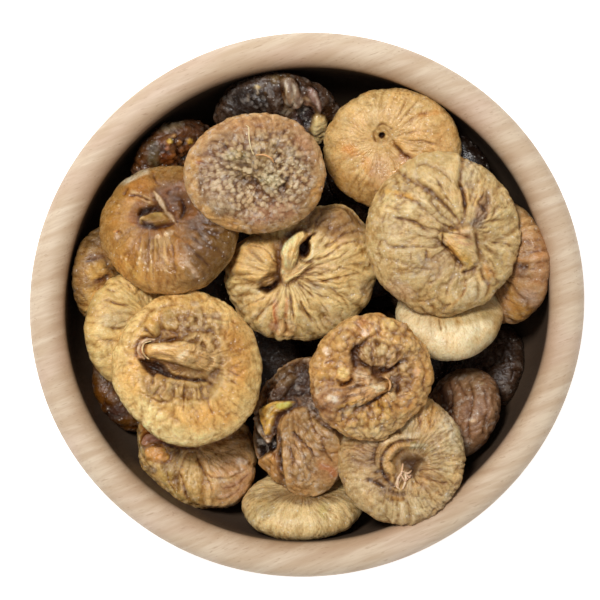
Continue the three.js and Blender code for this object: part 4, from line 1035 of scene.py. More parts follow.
            (0.35, 0.5, (10, 0), (15, -0.4), (20, -3)),
        ],
        hollows=[
            (-9.6, -4.2, 4.6, 2.8, 30, 1.4, 0.1), (0.9, 5.9, 1.8, 3, -12, 5, 1),
            (2, 9.2, 1.6, 0.7, 55, 2, 0.8),
        ],
        patches=[
            # The brown patch at (-9.6, -4) is painted shade in the left pit, and the one at (11, 15) partly
            # painted shade under the figs that overhang the upper right
            (-9.6, -4, 5, 3, 30, (146, 112, 66), 0.7), (4, -5.4, 2.6, 1.4, -15, (206, 186, 154), 0.8),
            (11, 15, 10, 7, 0, (158, 122, 82), 0.75), (3, 14, 3, 3, 0, (112, 86, 44), 0.7),
            (12, 9, 2.4, 1.8, 0, (206, 166, 124), 0.6), (-8, -14.6, 0.9, 5, 6, (222, 122, 66), 0.8),
            (-4.8, -12.4, 0.7, 3.6, -4, (226, 150, 96), 0.6), (-9, -18, 1.4, 2.4, 0, RUST, 0.6),
            (-5, -18, 3, 2.4, 0, (230, 184, 140), 0.5), (20, -6.4, 2.6, 2.6, 0, (178, 154, 122), 0.7),
            (7, -12.4, 2, 1.6, 0, (228, 206, 168), 0.7), (-13, 8, 7, 3, 0, (182, 140, 78), 0.5),
            (-20, 0, 4, 6, 0, (226, 196, 128), 0.5), (-14, 5, 3, 2, 0, (206, 166, 120), 0.4),
            (9, -16, 5, 2, 30, (214, 182, 138), 0.5), (16, 18, 3, 3, 0, (172, 140, 106), 0.6),
            (8, 0.4, 3, 1.2, 0, (222, 180, 132), 0.4),
        ],
    ),
    # Glossy amber, with a short stub in a hollow of brown skin and painted shade, and pale specks of sugar
    # painted as glints of light
    "fig_middle_left": dict(
        slot="skin_amber", base=(158, 108, 36), bloom=0.1, centre=(-3, 2), ribs=(24, 0.3, 0.12),
        fine=(75, 0.16, 0.054), crinkle=(4.5, 0.36, 0.043), stretch=20, edge=((226, 188, 130), 0.5),
        fans=[
            ((-3, 3), 30, 0.6, 0.3, 30, (-14, -2), (-2, -2), (4, -2), (12, -10), (4, -20), (-12, -18)),
            ((2, 6), 28, 0.5, 0.5, 26, (6, 0), (8, 6), (20, 2), (20, -12), (8, -18)),
        ],
        # The dark browns of the hollow round the stub are partly the skin's colour and partly painted shade
        areas=[
            (-1.2, 5, (146, 96, 48), 0.6, 0, (-11.4, 2), (-12, 5), (-10, 8), (-5, 9.6), (-1, 12), (4,
             14), (9, 13), (11, 8), (9, 3.4), (5, 1.4), (1, 1), (-3, 0.6), (-7, 0), (-9.6, 0.4)),
            (-0.3, 2, (96, 60, 34), 0.7, 0.1, (-9.6, 4), (-8.6, 6.2), (-5, 7.2), (-2, 7.2), (-3.4, 5.4),
             (-6, 4.4), (-8, 3)),
            (-0.5, 3, (112, 76, 40), 0.7, 0, (0, 11), (4, 12), (7.6, 9), (6.6, 4), (4, 1.6), (2.6, 4),
             (0.6, 7)),
            (1.6, 1.2, (166, 132, 74), 0.85, 0.3, (-8.8, 1.8), (-8.2, 3.2), (-4.6, 5.1), (-1.2, 5.4),
             (0.6, 3.6), (1.2, 1.9), (-2, 0.6), (-5, 0.3), (-7.8, 0.4)),
            (0.8, 0.8, (206, 184, 156), 0.7, 0.2, (-4.6, 11.2), (-3.2, 10.8), (-1.4, 9), (-0.4, 7), (0.2,
             5.4), (2, 3.8), (3, 0.9), (1.5, 1.5), (0, 3.2), (-1.7, 5.2), (-3.8, 8)),
        ],
        lines=[
            (0.9, (70, 42, 40), 0.9, (-8, 1.2), (-5.4, 0.8), (-3.6, 1)),
            (0.6, (84, 54, 44), 0.9, (-8, 3), (-5, 4.4), (-2, 4.8)),
            (0.5, (214, 190, 152), 0.9, (-8.6, 1), (-7.8, 2.4), (-6.4, 3)),
            (0.7, (194, 164, 98), 0.7, (-4, 3.4), (-2.4, 4), (-1.4, 3)),
            (0.5, (140, 104, 66), 0.7, (-6.4, 1.6), (-3, 1.6), (0, 2.4)),
            (0.5, (226, 196, 152), 0.7, (-12, 11.4), (-8, 10), (-4.4, 8.4)),
            (0.4, (222, 190, 144), 0.6, (-10.6, 9.8), (-7, 8.4), (-4.4, 7.2)),
            (1.4, (206, 150, 84), 0.6, (-12, 14.4), (-7, 13.6), (-2, 14.6)),
            # A painted highlight along the upper-left edge
            (1.0, (232, 214, 186), 0.8, (-13.4, 14), (-9, 16.4), (-5, 17.6)),
            (0.7, (224, 186, 124), 0.7, (-4.4, -2), (-4.8, -9), (-4.2, -18)),
            (0.6, (214, 172, 108), 0.6, (-7.6, -2), (-8.4, -9), (-8, -16)),
            (0.7, (220, 182, 122), 0.6, (-1, -3), (-0.4, -9), (0, -17)),
            (0.8, (222, 176, 98), 0.6, (-15, -7), (-10, -14), (-4, -18.4)),
            (1.0, (118, 84, 48), 0.5, (5, 0), (10, -5), (15, -9)),
            (0.9, (124, 90, 50), 0.5, (4, -4), (9, -11), (12, -16)),
            (0.8, (206, 176, 150), 0.6, (5, -10), (8, -13), (9, -16)),
            (0.7, (238, 212, 176), 0.8, (-4, -2.4), (-2, -2.8)),
            (0.7, (238, 212, 176), 0.8, (-1, -1.4), (0.4, -2.6)),
            (0.9, (214, 176, 150), 0.7, (-16, -2), (-14.6, -3.6)),
            (0.4, (222, 150, 70), 0.8, (-17, -1.4), (-15.8, -1), (-14.4, -1.2)),
        ],
        creases=[
            (0.8, 1.6, (-9.8, 4), (-7, 5.2), (-3.8, 6.2)),
            (0.5, 1, (-5.6, -0.3), (-1, 0.5), (2, 1.2), (4.2, 2.8)),
            (0.7, 1.4, (3.8, 2.4), (4.6, 6), (3.4, 9.8)), (0.6, 0.8, (-12.6, 9.6), (-9, 10), (-5, 8)),
            (0.5, 0.6, (-14, 10), (-12, 12.6)), (0.4, 0.5, (-16, -1.6), (-14.6, -1), (-13.6, -2)),
            (0.5, 0.5, (6, -2), (11, -5), (17, -7)), (0.5, 0.5, (5, -4), (9, -8), (14, -13)),
            (0.4, 0.4, (-4, -2), (-4.4, -9), (-4, -18)), (0.4, 0.5, (0.6, -2), (2, -8), (2.6, -18)),
            (0.4, 0.4, (-8, -2), (-8.8, -8)), (0.5, 0.4, (5, 0), (12, -1), (18, -2)),
            (0.6, 0.7, (-1, 10), (2, 12), (5, 12)), (0.5, 0.5, (-2, 12.4), (-4, 15), (-5, 18)),
        ],
        # Pale specks of sugar, painted as glints of light
        domes=[
            (-8, -7, 0.5, 0.25, (240, 220, 190)), (-8.4, -9.4, 0.5, 0.25, (240, 220, 190)),
            (-6.6, -11, 0.5, 0.25, (240, 220, 190)), (-14, -9, 0.5, 0.25, (240, 220, 190)),
            (-15.4, -3, 0.5, 0.25, (240, 214, 186)), (8, -13.6, 0.5, 0.25, (226, 200, 176)),
            (5, -12.4, 0.5, 0.25, (226, 200, 176)), (-9, -10.8, 0.5, 0.25, (240, 220, 190)),
            (-6, -13, 0.5, 0.25, (240, 220, 190)), (9.4, -15, 0.5, 0.25, (226, 200, 176)),
            (-15, 7, 0.5, 0.25, (236, 210, 170)), (-12.6, -9.6, 0.5, 0.25, (240, 220, 190)),
        ],
        patches=[
            # The dark patches at (14, -7) and (10, 3) are partly the skin's brown and partly painted shade
            # under the fig that overhangs this side
            (14, -7, 9, 13, -30, (112, 78, 28), 0.88), (10, 3, 7, 5, 0, (90, 60, 26), 0.8),
            (0, 15, 9, 3, 0, (160, 122, 74), 0.6), (2, 11, 6, 4, 0, (112, 72, 38), 0.8),
            # The pale patch at (-11, 16) is a painted highlight on the upper-left edge
            (-9, 13.4, 4, 2.6, 20, (198, 140, 74), 0.7), (-11, 16, 5, 1.2, 34, (236, 222, 196), 0.7),
            (-14, 0, 7, 12, 0, (214, 162, 90), 0.5), (-9.6, 3, 2.6, 2.4, 0, (172, 110, 58), 0.7),
            (-11, -13, 7, 4, -20, (216, 158, 76), 0.6), (0, -12, 8, 7, 0, (202, 158, 94), 0.5),
            (-2, -4, 4, 2, 0, (222, 190, 136), 0.5), (8, -15, 5, 4, 0, (150, 110, 62), 0.6),
            (-5.4, 0.6, 2.6, 1.4, -10, (84, 54, 50), 0.85), (-12, 8, 3, 1.6, 20, (222, 178, 122), 0.5),
            (-15, 16, 6, 1.2, 36, (226, 192, 138), 0.5), (0.6, -1.6, 1.4, 1, 0, (238, 214, 180), 0.6),
        ],
    ),
    # Golden and smooth, with a small hole in the middle and a crease running from it
    "fig_middle_back_right": dict(
        slot="skin_golden", base=(230, 192, 132), bloom=0.12, centre=(-3.4, 3.8), ribs=(38, 0.32, 0.1),
        fine=(90, 0.1, 0.03), crinkle=(5, 0.3, 0.02), stretch=14, edge=((236, 196, 130), 0.3),
        creases=[
            (0.8, 1.4, (-0.2, 3.4), (0.6, 1.2), (3, -1.6), (6.8, -3.9)),
            (0.5, 0.6, (-5.8, 5.2), (-3.4, 7), (-0.6, 5.8), (0, 3.6)),
            (0.5, 0.5, (-5.8, 5.4), (-6, 3), (-4.8, 1.6)), (0.5, 0.3, (2, 6), (7, 9.6), (12, 11)),
            (0.4, 0.4, (2.4, 4), (8, 5.2), (15, 4)), (0.4, 0.4, (3, 2), (9, 2), (16, 0)),
            (0.4, 0.4, (3, -0.4), (10, -1.6), (16, -2)), (0.4, 0.3, (0, 8), (3, 12), (4, 16)),
            (0.4, 0.35, (1.6, 7), (6, 12.6), (8, 16)),
        ],
        hollows=[(-3.4, 3.7, 0.95, 0.85, 0, 2.2, 1), (-3.4, 3.8, 3.2, 2.6, 0, 0.5, 0.12)],
        domes=[
            (-1.9, 3.3, 0.6, 0.3, (222, 190, 130)), (-4.6, 4.8, 0.6, 0.3, (222, 190, 130)),
            (-3.6, 2.4, 0.5, 0.25, STRAW), (-3, 5.3, 0.5, 0.25, STRAW), (-5, 3.2, 0.5, 0.25, STRAW),
        ],
        patches=[
            (-13, -0.6, 2.6, 2, 0, (232, 160, 72), 0.7), (-8, -5, 1.6, 3.6, 20, (232, 166, 84), 0.6),
            (-12.6, -2.4, 4, 0.8, 14, (214, 156, 84), 0.5), (11, 10.4, 5, 1, 10, (226, 164, 90), 0.6),
            (-4, -6.6, 3.4, 5, 0, (216, 170, 134), 0.6), (3.6, -3, 2.4, 2, 0, (206, 160, 140), 0.6),
            # The pale patch at (-9, 12) is painted light on the upper side, and the browner patches at (-9,
            # -13) and (-17, -9) are painted shade on the lower side
            (-9, 12, 8, 4, 30, (242, 212, 158), 0.5), (7.4, 13, 1.6, 1.2, 0, (244, 222, 186), 0.6),
            (-9, -13, 11, 4, -18, (192, 146, 82), 0.8), (-17, -9, 3, 6, 20, (200, 152, 86), 0.7),
            (14, 2, 6, 5, 0, (228, 182, 122), 0.4), (-4, 5, 3.4, 3, 0, (214, 182, 122), 0.4),
        ],
    ),
    # Pale brown and finely ribbed, with a curved fold round a hollow that holds a tuft of fibres
    "fig_middle_front_right": dict(
        slot="skin_pale", base=(192, 164, 118), bloom=0.3, centre=(1, -2), ribs=(56, 0.55, 0.3),
        fine=(120, 0.27, 0.09), crinkle=(3.4, 0.36, 0.072), stretch=14, edge=((228, 200, 150), 0.4),
        fans=[
            ((0, -2), 45, 0.5, 0.3, 20, (6, -1), (8, 8), (16, 10), (20, 0), (17, -12), (8, -16), (5, -8)),
            ((6, 4), 40, 0.4, 0.3, 30, (3, 7), (3, 19), (10, 19), (14, 10), (9, 6)),
        ],
        areas=[
            (-1.2, 4, (186, 152, 106), 0.4, 0, (-9, -1), (-8, 3), (-4, 6), (2, 7), (7, 5), (8, -2), (5,
             -7), (0, -10), (-6, -9)),
            (-1.2, 1.8, (138, 102, 64), 0.7, 0.12, (4.4, 6), (0.4, 5.9), (-3, 5), (-5.9, 2.6), (-7.5,
             -1.4), (-7.1, -5), (-5.5, -7.7), (-2.8, -9.7), (-2.4, -8.4), (-4.6, -6.5), (-6.1, -4),
             (-6.2, -0.6), (-4.9, 2.5), (-2, 4.2), (1.4, 4.9), (3.6, 5.2)),
            (1.2, 1.6, (204, 164, 104), 0.6, 0.1, (-4.2, -7.4), (-6, -4), (-6, -0.4), (-4.6, 2.6), (-1.6,
             4.4), (2, 4.8), (4, 3.6), (1.4, 2.6), (-1.4, 1.6), (-2.4, -0.8), (-2.6, -3.4), (-3.2, -6)),
            (-1.8, 3, (126, 96, 64), 0.8, 0, (-2.2, -0.4), (-1, 1.5), (1.4, 1.9), (4, 1.1), (6, -0.6),
             (4.2, -2.2), (3.4, -4.4), (2.2, -6.2), (0.8, -5), (-1, -3)),
            (-0.8, 2, (120, 86, 50), 0.7, 0.1, (-5, -8), (-2.4, -9.6), (0, -9.2), (0.4, -11), (-2.4,
             -12), (-5.4, -10.6)),
        ],
        lines=[
            (1.4, (196, 160, 112), 0.6, (-3.4, -6), (-4.6, -2), (-3, 2), (1.6, 3.6)),
            (0.5, (176, 168, 140), 0.8, (0.4, 2.8), (3, 3.4), (6, 3)),
            (0.5, (206, 196, 166), 0.8, (0.8, 3.8), (3.6, 4.2), (7, 3.8)),
            (0.4, (150, 132, 66), 0.7, (1, 4.6), (3.4, 5)),
            (1.0, (230, 212, 182), 0.7, (-11, 6.6), (-5.6, 5.2), (0, 6.6), (5, 7)),
            (0.8, (190, 146, 78), 0.6, (4, 17), (4.4, 12), (4.4, 8.6)),
            (0.8, (196, 152, 84), 0.6, (6.8, 17.4), (7, 12), (6.8, 8)),
            (0.8, (222, 192, 140), 0.6, (5.6, 17.4), (5.8, 12), (5.6, 8)),
            (1.2, (214, 200, 178), 0.6, (11, 15), (13.6, 9), (15, 3)),
            (0.7, (150, 110, 60), 0.7, (3, -4.6), (7, -5.4), (12, -5.6)),
            (0.7, (160, 118, 64), 0.6, (3, -6.4), (7, -9), (11, -11)),
            (0.8, (226, 200, 156), 0.6, (4, -3.4), (10, -3.6), (16, -2.6)),
            (0.8, (166, 120, 56), 0.8, (-5, -12), (-2.4, -12.2), (0, -12.4)),
            (0.8, (232, 210, 178), 0.6, (-1, -13), (-1, -16), (-2, -19)),
            (0.8, (230, 208, 166), 0.6, (2, -11), (3, -15), (4.4, -18.6)),
            (1.0, (228, 204, 160), 0.6, (-16, -7), (-11, -12), (-6, -16)),
            (0.9, (118, 84, 52), 0.7, (-13, -6), (-9, -7), (-5.4, -8.6)),
            (1.0, (196, 160, 110), 0.6, (-13, 0), (-10, -2), (-8.6, -4)),
        ],
        creases=[
            (0.8, 1.1, (3, 5.7), (-2, 4.7), (-5.6, 2), (-7.1, -2), (-6, -6), (-3, -8.6)),
            (0.7, 1, (-13, -5.6), (-9, -7.4), (-5, -9.2)), (0.5, 0.6, (-10, -4.6), (-8, -4), (-7, -1)),
            (0.5, 0.7, (2, -3.4), (7, -3.4), (12, -3)), (0.4, 0.6, (2.6, -4.6), (8, -6.6), (14, -7.4)),
            (0.4, 0.5, (2, -6), (6, -9.4), (9, -13.4)), (0.4, 0.5, (0, -12), (1, -16), (1.6, -19.4)),
            (0.4, 0.5, (-3, -12), (-2.4, -16), (-2.6, -19)), (0.4, 0.5, (-6, -11), (-7, -14), (-9, -17)),
            (0.4, 0.5, (-10, -9), (-13, -12)), (0.4, 0.4, (4, 8), (4.6, 13), (5.6, 18)),
            (0.4, 0.4, (7, 8), (8, 13), (8.4, 18)), (0.5, 0.5, (-14, 3), (-10, 1), (-7.6, 1.6)),
            (0.5, 0.5, (-18, 0), (-13, -1), (-9, 0)), (0.4, 0.4, (6, 0.6), (11, 1.4), (16, 1)),
        ],
        patches=[
            (-3, -11.4, 5, 1.8, -10, (172, 136, 82), 0.7), (8, -6, 5, 3, -20, (208, 166, 108), 0.6),
            (7, 13, 3.4, 5, -8, (212, 168, 98), 0.6), (13, 12, 3, 4, 60, (214, 196, 170), 0.5),
            (-12, 0, 7, 4, -10, (168, 134, 96), 0.7), (-10, 4.6, 3, 1.8, 0, (226, 208, 176), 0.5),
            (-15, 3.4, 5, 2, -10, (190, 148, 96), 0.6), (-12, -9, 5, 3, -40, (206, 180, 136), 0.6),
            (4, 3, 5, 1.8, 0, (170, 156, 118), 0.6), (-4.6, 0, 2, 4, 10, (212, 176, 112), 0.5),
            (0, -15.6, 8, 3, 0, (226, 204, 158), 0.5), (15, -2, 3, 8, 0, (234, 206, 156), 0.5),
            (-7, -8, 5, 3, -40, (116, 82, 50), 0.65), (2.6, -1.6, 4.4, 3.6, 0, (108, 82, 56), 0.65),
            (-8.6, 0, 2.4, 5, -10, (132, 98, 62), 0.55), (14, 6, 5, 7, 20, (226, 206, 168), 0.55),
            (8, -13, 8, 4, 30, (222, 200, 160), 0.5), (-13, -8, 5, 6, 30, (216, 188, 142), 0.45),
        ],
        threads=[
            (0.45, 0.9, (232, 198, 166), (-0.8, -1.8), (-1.3, -4.4), (-2.4, -6.4), (-2.4, -9)),
            (0.35, 1, (222, 186, 150), (-1, -4), (0.6, -4.6), (1.8, -3.8)),
            (0.4, 0.8, (238, 212, 180), (-0.2, -4.6), (0, -6.6), (-1, -9.2)),
            (0.3, 1.1, (228, 190, 158), (-1.4, -5), (-0.4, -6.6), (0.6, -6.2)),
            (0.3, 1, (212, 172, 140), (0.2, -4.8), (1, -5.8), (1.6, -5)),
            (0.32, 0.6, (236, 206, 170), (-2.6, -6.4), (-2.9, -8.2), (-1.8, -9.4)),
        ],
    ),
    # Brown and folded, with a yellow-green neck on the left and dark skin behind it
    "fig_middle_front": dict(
        slot="skin_dark", base=(152, 116, 78), bloom=0.5, centre=(-2, 8), ribs=(34, 0.6, 0.3),
        fine=(68, 0.3, 0.14), crinkle=(2.7, 0.73, 0.14), stretch=14, edge=((206, 168, 124), 0.5),
        areas=[
            (-1.2, 2, (98, 74, 60), 0.7, 0.1, (-14, 7), (-14.6, 14), (-10, 21), (0, 19), (2, 8), (-3,
             7.4)),
            (0.8, 2, (124, 98, 66), 0.6, 0.2, (-13, 15), (-10, 19.6), (-5, 18), (-3, 13), (-7, 11), (-11,
             12)),
            (-2.6, 1.2, (52, 36, 28), 0.9, 0.5, (-15.8, -4), (-12.4, -6.6), (-9.4, -3), (-9.2, -8),
             (-11.6, -10.4), (-14.4, -12), (-16.4, -12)),
            (0.8, 1.3, (192, 146, 88), 0.75, 0.3, (-15, -11), (-11.6, -9.8), (-9, -12), (-8, -20), (-10,
             -22), (-13.6, -19.6), (-15.8, -15)),
            (1.3, 1.6, (190, 152, 102), 0.7, 0.15, (-8.4, 1), (-5, 4), (0, 5), (4, 0), (10, -4), (11.6,
             -12), (9, -19), (4, -22.8), (-4, -23.4), (-7.4, -18.6), (-8.2, -10), (-8.8, -3)),
            (0.8, 0.7, (208, 192, 172), 0.85, 0.3, (-16.4, 1), (-14.4, 1.6), (-13, -3), (-10.6, -6.4),
             (-12.6, -6.4), (-15.4, -3)),
            (2.2, 0.9, (210, 168, 84), 0.9, 0.6, (-13.8, 4.4), (-10, 6.4), (-4.4, 6.8), (-3.4, 5.6),
             (-6.4, 3.4), (-8.8, 1.6), (-9.8, -1), (-11.2, -4), (-12.8, -4.4), (-13.4, -2), (-14, 1)),
        ],
        lines=[
            (0.9, (206, 198, 104), 0.9, (-8.6, 4.6), (-6, 5.2), (-4, 6)),
            (0.6, (244, 226, 176), 0.8, (-11, 1), (-10, 3.6), (-8, 5)),
            (0.5, (150, 104, 44), 0.7, (-12.6, 3), (-12, -1), (-12.2, -3.6)),
            (0.5, (92, 68, 48), 0.8, (-14, 5), (-10.4, 6.8), (-6, 6.9)),
            (0.7, (184, 178, 172), 0.6, (-16, 3), (-15, 1)),
            (1.0, (226, 194, 150), 0.7, (-7.2, -16), (-5, -21), (0, -22.6), (5, -21.6)),
            (0.7, (210, 176, 126), 0.7, (-8, -5), (-7.8, -10), (-7, -15)),
            (1.2, (200, 120, 78), 0.6, (3, -13), (7, -14), (8.4, -17)),
            (0.8, (206, 178, 160), 0.7, (-4, -12), (-1, -13)),
            (0.8, (214, 184, 164), 0.7, (2, -8.6), (4, -10)),
        ],
        creases=[
            (0.7, 1.8, (-8, -3), (-8.2, -9), (-7.8, -14), (-6.6, -20)),
            (0.6, 1, (-4.8, -1.6), (-2, -5), (1.4, -8), (2, -10.4)),
            (0.9, 1.6, (-10.6, -0.6), (-9.4, -4)), (0.6, 0.9, (0, 6), (1.6, 0), (4, -4), (9, -6)),
            (0.6, 0.8, (-5, 8), (-1, 9), (2, 8)), (0.6, 0.8, (-8, 12), (-5, 15), (-3, 18)),
            (0.5, 0.7, (4, -3), (6, -9), (8.6, -13)), (0.5, 0.5, (3, -8), (8, -9), (12, -8)),
            (0.5, 0.5, (-5, -6), (-4, -12), (-4, -18)),
        ],
        patches=[
            (2, -13, 7, 9, 0, (186, 150, 120), 0.5), (-2, 13, 6, 7, -10, (66, 50, 48), 0.85),
            (-9, 12, 4, 6, 0, (112, 84, 54), 0.8), (-10.6, 8.4, 4, 2.6, 0, UMBER, 0.8),
            (-11.6, -14, 2.4, 6, 0, (176, 128, 70), 0.8), (-9.4, -17, 1, 5, 0, MAUVE, 0.6),
            (-2, 2, 5, 3, 0, (152, 112, 66), 0.6), (6, -14, 4, 4, 0, (198, 122, 78), 0.7),
            (-3, -7, 4, 4, 0, (142, 108, 92), 0.6), (2, -21.6, 8, 1.8, 0, (222, 188, 142), 0.7),
            (-6.6, -16, 1.6, 6, 0, (212, 178, 124), 0.6), (-3, -15, 4, 4, 0, (196, 150, 106), 0.5),
            (7, -4, 4, 4, 0, (156, 122, 92), 0.6), (1, 6, 3, 7, 10, (108, 86, 74), 0.6),
            (-15, -6, 2, 8, -10, BLACK, 0.8),
        ],
    ),
    # Amber, with a rolled lip at the back and a browner lobe on the right
    "fig_middle_front_left": dict(
        slot="skin_amber", base=(240, 202, 140), bloom=0.3, centre=(-2, 3), ribs=(24, 0.5, 0.2),
        fine=(68, 0.28, 0.099), crinkle=(3.4, 0.49, 0.11), stretch=14, edge=((212, 180, 124), 0.5),
        areas=[
            (1.0, 2.2, (214, 172, 122), 0.55, 0.2, (0.2, 0.6), (5, 3), (12, 6), (17, 6), (19.4, 0),
             (18.6, -8), (15, -14), (9, -17), (2.6, -16), (3, -10), (3.2, -6)),
            (0.6, 1.6, (200, 164, 102), 0.4, 0.2, (-3, -1), (0.2, 0), (2.8, -5), (2.4, -10), (1, -15),
             (-1.6, -13), (-3, -8)),
            (-0.8, 2, (174, 144, 88), 0.5, 0, (-9, 2), (-4, 2), (-3.6, -4), (-3.4, -10), (-6, -12), (-9,
             -8), (-11, -3)),
            (1.3, 0.7, (152, 106, 92), 0.9, 0.5, (-16.6, 3.4), (-15.4, 6.4), (-12, 6.8), (-7, 5.2), (0,
             3.6), (0.4, 2.4), (-6, 2.7), (-10, 4), (-13, 3.4), (-15, 2.2)),
            (0.5, 0.8, (216, 156, 86), 0.85, 0.3, (-15.4, 2), (-12, 3.1), (-9, 3), (-7.4, 0), (-8.4,
             -1.8), (-12, -1.4), (-15.4, -0.4)),
        ],
        lines=[
            (0.5, (238, 190, 104), 0.9, (-10, 2.4), (-8.4, 1), (-8, -1.2)),
            (0.5, (206, 164, 146), 0.7, (-15, 5.6), (-11, 5.8), (-6, 4.4)),
            (0.9, (226, 204, 150), 0.7, (-20.6, 11), (-18.6, 5), (-15, -1)),
            (0.6, (122, 88, 48), 0.7, (-19, 10), (-17, 6)),
            (0.8, (196, 176, 116), 0.6, (-11, -6), (-7, -11), (-2, -14.6)),
            # These two pale strokes on the right lobe are painted highlights
            (0.9, (232, 206, 190), 0.7, (12, -2.4), (14, -1.8), (16, -3)),
            (0.8, (228, 200, 180), 0.7, (10, -5.6), (13, -5.4), (15.4, -4.2)),
            (0.7, (226, 200, 150), 0.6, (1.4, -3.4), (3.6, -6.6), (8, -7.6), (13, -6.4)),
            (0.8, (230, 200, 156), 0.6, (3, -15), (8, -16.4), (13, -14.6)),
            (0.7, (204, 160, 140), 0.6, (8, -10), (13, -8.6), (17, -5)),
            (0.7, (208, 170, 146), 0.6, (7, -12.4), (12, -11.6), (16, -8)),
            (0.8, (206, 154, 80), 0.6, (6, 6), (11, 7), (15, 8)),
        ],
        creases=[
            (0.56, 1.1, (-15.4, 4.4), (-12, 3.4), (-9, 2), (-7.6, -1.4)),
            (0.56, 1.1, (-5.2, -3.6), (-3.6, -7), (-2.6, -12), (-1.4, -15.6)),
            (0.4, 0.63, (0.6, -0.6), (3, -5), (5, -9), (6, -13)),
            (0.4, 0.49, (2, -3), (5, -6.4), (10, -7), (15, -4.6), (18, -1)),
            (0.4, 0.42, (-19, 7), (-17, 1), (-12, -6)), (0.4, 0.42, (-14, 9), (-12, 7.4)),
            (0.32, 0.35, (8, -10), (13, -9), (17, -5)), (0.32, 0.35, (5, -13), (10, -13), (15, -9)),
            (0.32, 0.35, (5, 0), (10, 1), (16, 3)), (0.32, 0.35, (-9, -3), (-8, -8), (-6, -12)),
        ],
        patches=[
            (-9, 4.4, 8, 1.6, -12, (159, 110, 94), 0.85), (-11, 0, 4, 1.8, -20, (244, 177, 92), 0.8),
            (-15.4, 8, 2.4, 1.4, -40, ORANGE, 0.8), (-8, -5.4, 4, 3, -20, (199, 168, 92), 0.75),
            (-5.6, -6.4, 1.2, 4, 14, (141, 103, 90), 0.7), (13, -8, 8, 8, 20, (188, 142, 112), 0.8),
            (9, 5, 8, 4, 0, (226, 174, 104), 0.6), (15, 8, 3, 4, 0, (190, 138, 80), 0.5),
            (3, -3, 3, 1.6, -60, (240, 202, 141), 0.7), (10, -6, 7, 1, 10, (226, 186, 142), 0.5),
            # The near-white patches at (14, -2.6) and (13, -5.6) are painted highlights
            (14, -2.6, 2.2, 1, 20, (250, 233, 215), 0.6), (13, -5.6, 2, 0.9, 10, (250, 228, 208), 0.5),
            (6, -16, 8, 1.2, -4, (244, 206, 148), 0.6), (-19, 6, 1.8, 6, 20, (240, 211, 148), 0.7),
            (-13.4, -4.4, 2, 1.4, 0, (143, 121, 110), 0.6), (3, -10, 2.4, 5, 20, (220, 184, 116), 0.5),
            (-1, -8, 1.4, 5, 10, (206, 175, 110), 0.5),
        ],
    ),
    # Very pale and smooth
    "fig_middle_right": dict(
        slot="skin_pale", base=(250, 236, 200), bloom=0.1, centre=(0, 9), ribs=(60, 0.22, 0.1),
        fine=(68, 0.13, 0.036), stretch=22, edge=((226, 190, 126), 0.3),
        creases=[(0.4, 0.6, (-3.8, -0.6), (-3.3, -5.4)), (0.5, 0.1, (-1.6, -2), (-1.8, -12))],
        patches=[
            # The olive band at (3, 0) and the patch at (10, 2) are painted shade under the fig that lies over
            # this one
            (3, 0, 12, 3, 0, (196, 170, 112), 0.7), (15, -4, 2, 8, 0, (218, 182, 116), 0.6),
            (2, -2.4, 1.4, 2, 0, (198, 156, 84), 0.6), (-6, -2, 4, 3, 0, (196, 160, 100), 0.5),
            (10, 2, 5, 4, -30, (186, 158, 104), 0.6),
        ],
    ),
    # Orange-brown and ribbed, leaning steeply on the wall
    "fig_leaning_right": dict(
        slot="skin_brown", base=(182, 140, 96), bloom=0.35, centre=(0, 0), ribs=(35, 0.7, 0.45),
        fine=(82, 0.27, 0.09), stretch=20, edge=((200, 156, 108), 0.3),
        creases=[
            (0.8, 1.2, (2.6, -0.8), (6.6, -1.6)), (0.5, 0.3, (4, 6), (11, 7)),
            (0.5, 0.3, (3, 3), (12, 3.4)),
        ],
        patches=[
            (6.6, -11, 3, 4, 10, (182, 152, 134), 0.75), (5, -15.6, 4, 3, 20, (204, 156, 84), 0.8),
            (2, -12, 1.6, 5, 20, (196, 148, 76), 0.7), (4, -3, 2.6, 2.4, 0, (128, 98, 84), 0.6),
            (10, 0, 3, 8, 0, (196, 142, 98), 0.5), (5, 14, 5, 5, 0, (208, 170, 118), 0.7),
            (12.4, -4, 1.2, 12, 4, (206, 160, 118), 0.4),
        ],
    ),
    # Straw-coloured and broadly ribbed
    "fig_leaning_left": dict(
        slot="skin_pale", base=(230, 198, 132), bloom=0.2, centre=(2, 4), ribs=(21, 0.55, 0.3),
        fine=(60, 0.27, 0.09), crinkle=(3.4, 0.36, 0.072), stretch=18, edge=((238, 206, 140), 0.5),
        creases=[
            (0.5, 1, (-9, 10), (-5, 8.2), (-0.6, 7.9)), (0.5, 0.7, (-10, 2), (-5, 0.9), (-1.6, 0.7)),
            (0.4, 0.6, (2.6, 14), (0, 10.6)), (0.4, 0.6, (-2.6, 15), (0.6, 11)),
            (0.4, 0.5, (-12, -3.4), (-8, -2.6), (0, -4)), (0.5, 0.6, (-1, -9), (0, -13)),
            (0.4, 0.5, (-9, 13), (-5, 11.6)),
        ],
        patches=[
            (-6, 3, 5, 2, -8, (206, 186, 146), 0.7), (-3, 5, 4, 2, 0, (200, 176, 136), 0.5),
            (-2, -14, 4, 8, 0, (228, 182, 104), 0.6), (-10, -2, 2, 12, 4, (244, 214, 150), 0.6),
        ],
    ),
    # Mauve-brown, standing on its edge, with long creases
    "fig_standing_right": dict(
        slot="skin_brown", base=(154, 116, 86), bloom=0.6, centre=(0, 0), ribs=(12, 0.4, 0.25),
        fine=(45, 0.27, 0.068), crinkle=(2.9, 0.68, 0.13), edge=((150, 120, 96), 0.2),
        creases=[
            (0.5, 0.5, (-2, 12), (1, 6), (4, 2)), (0.6, 0.8, (-4, 13), (-3, 5), (-4, -5), (-2, -13)),
            (0.5, 0.6, (2, 13), (3, 5), (1.6, -4), (3, -13)),
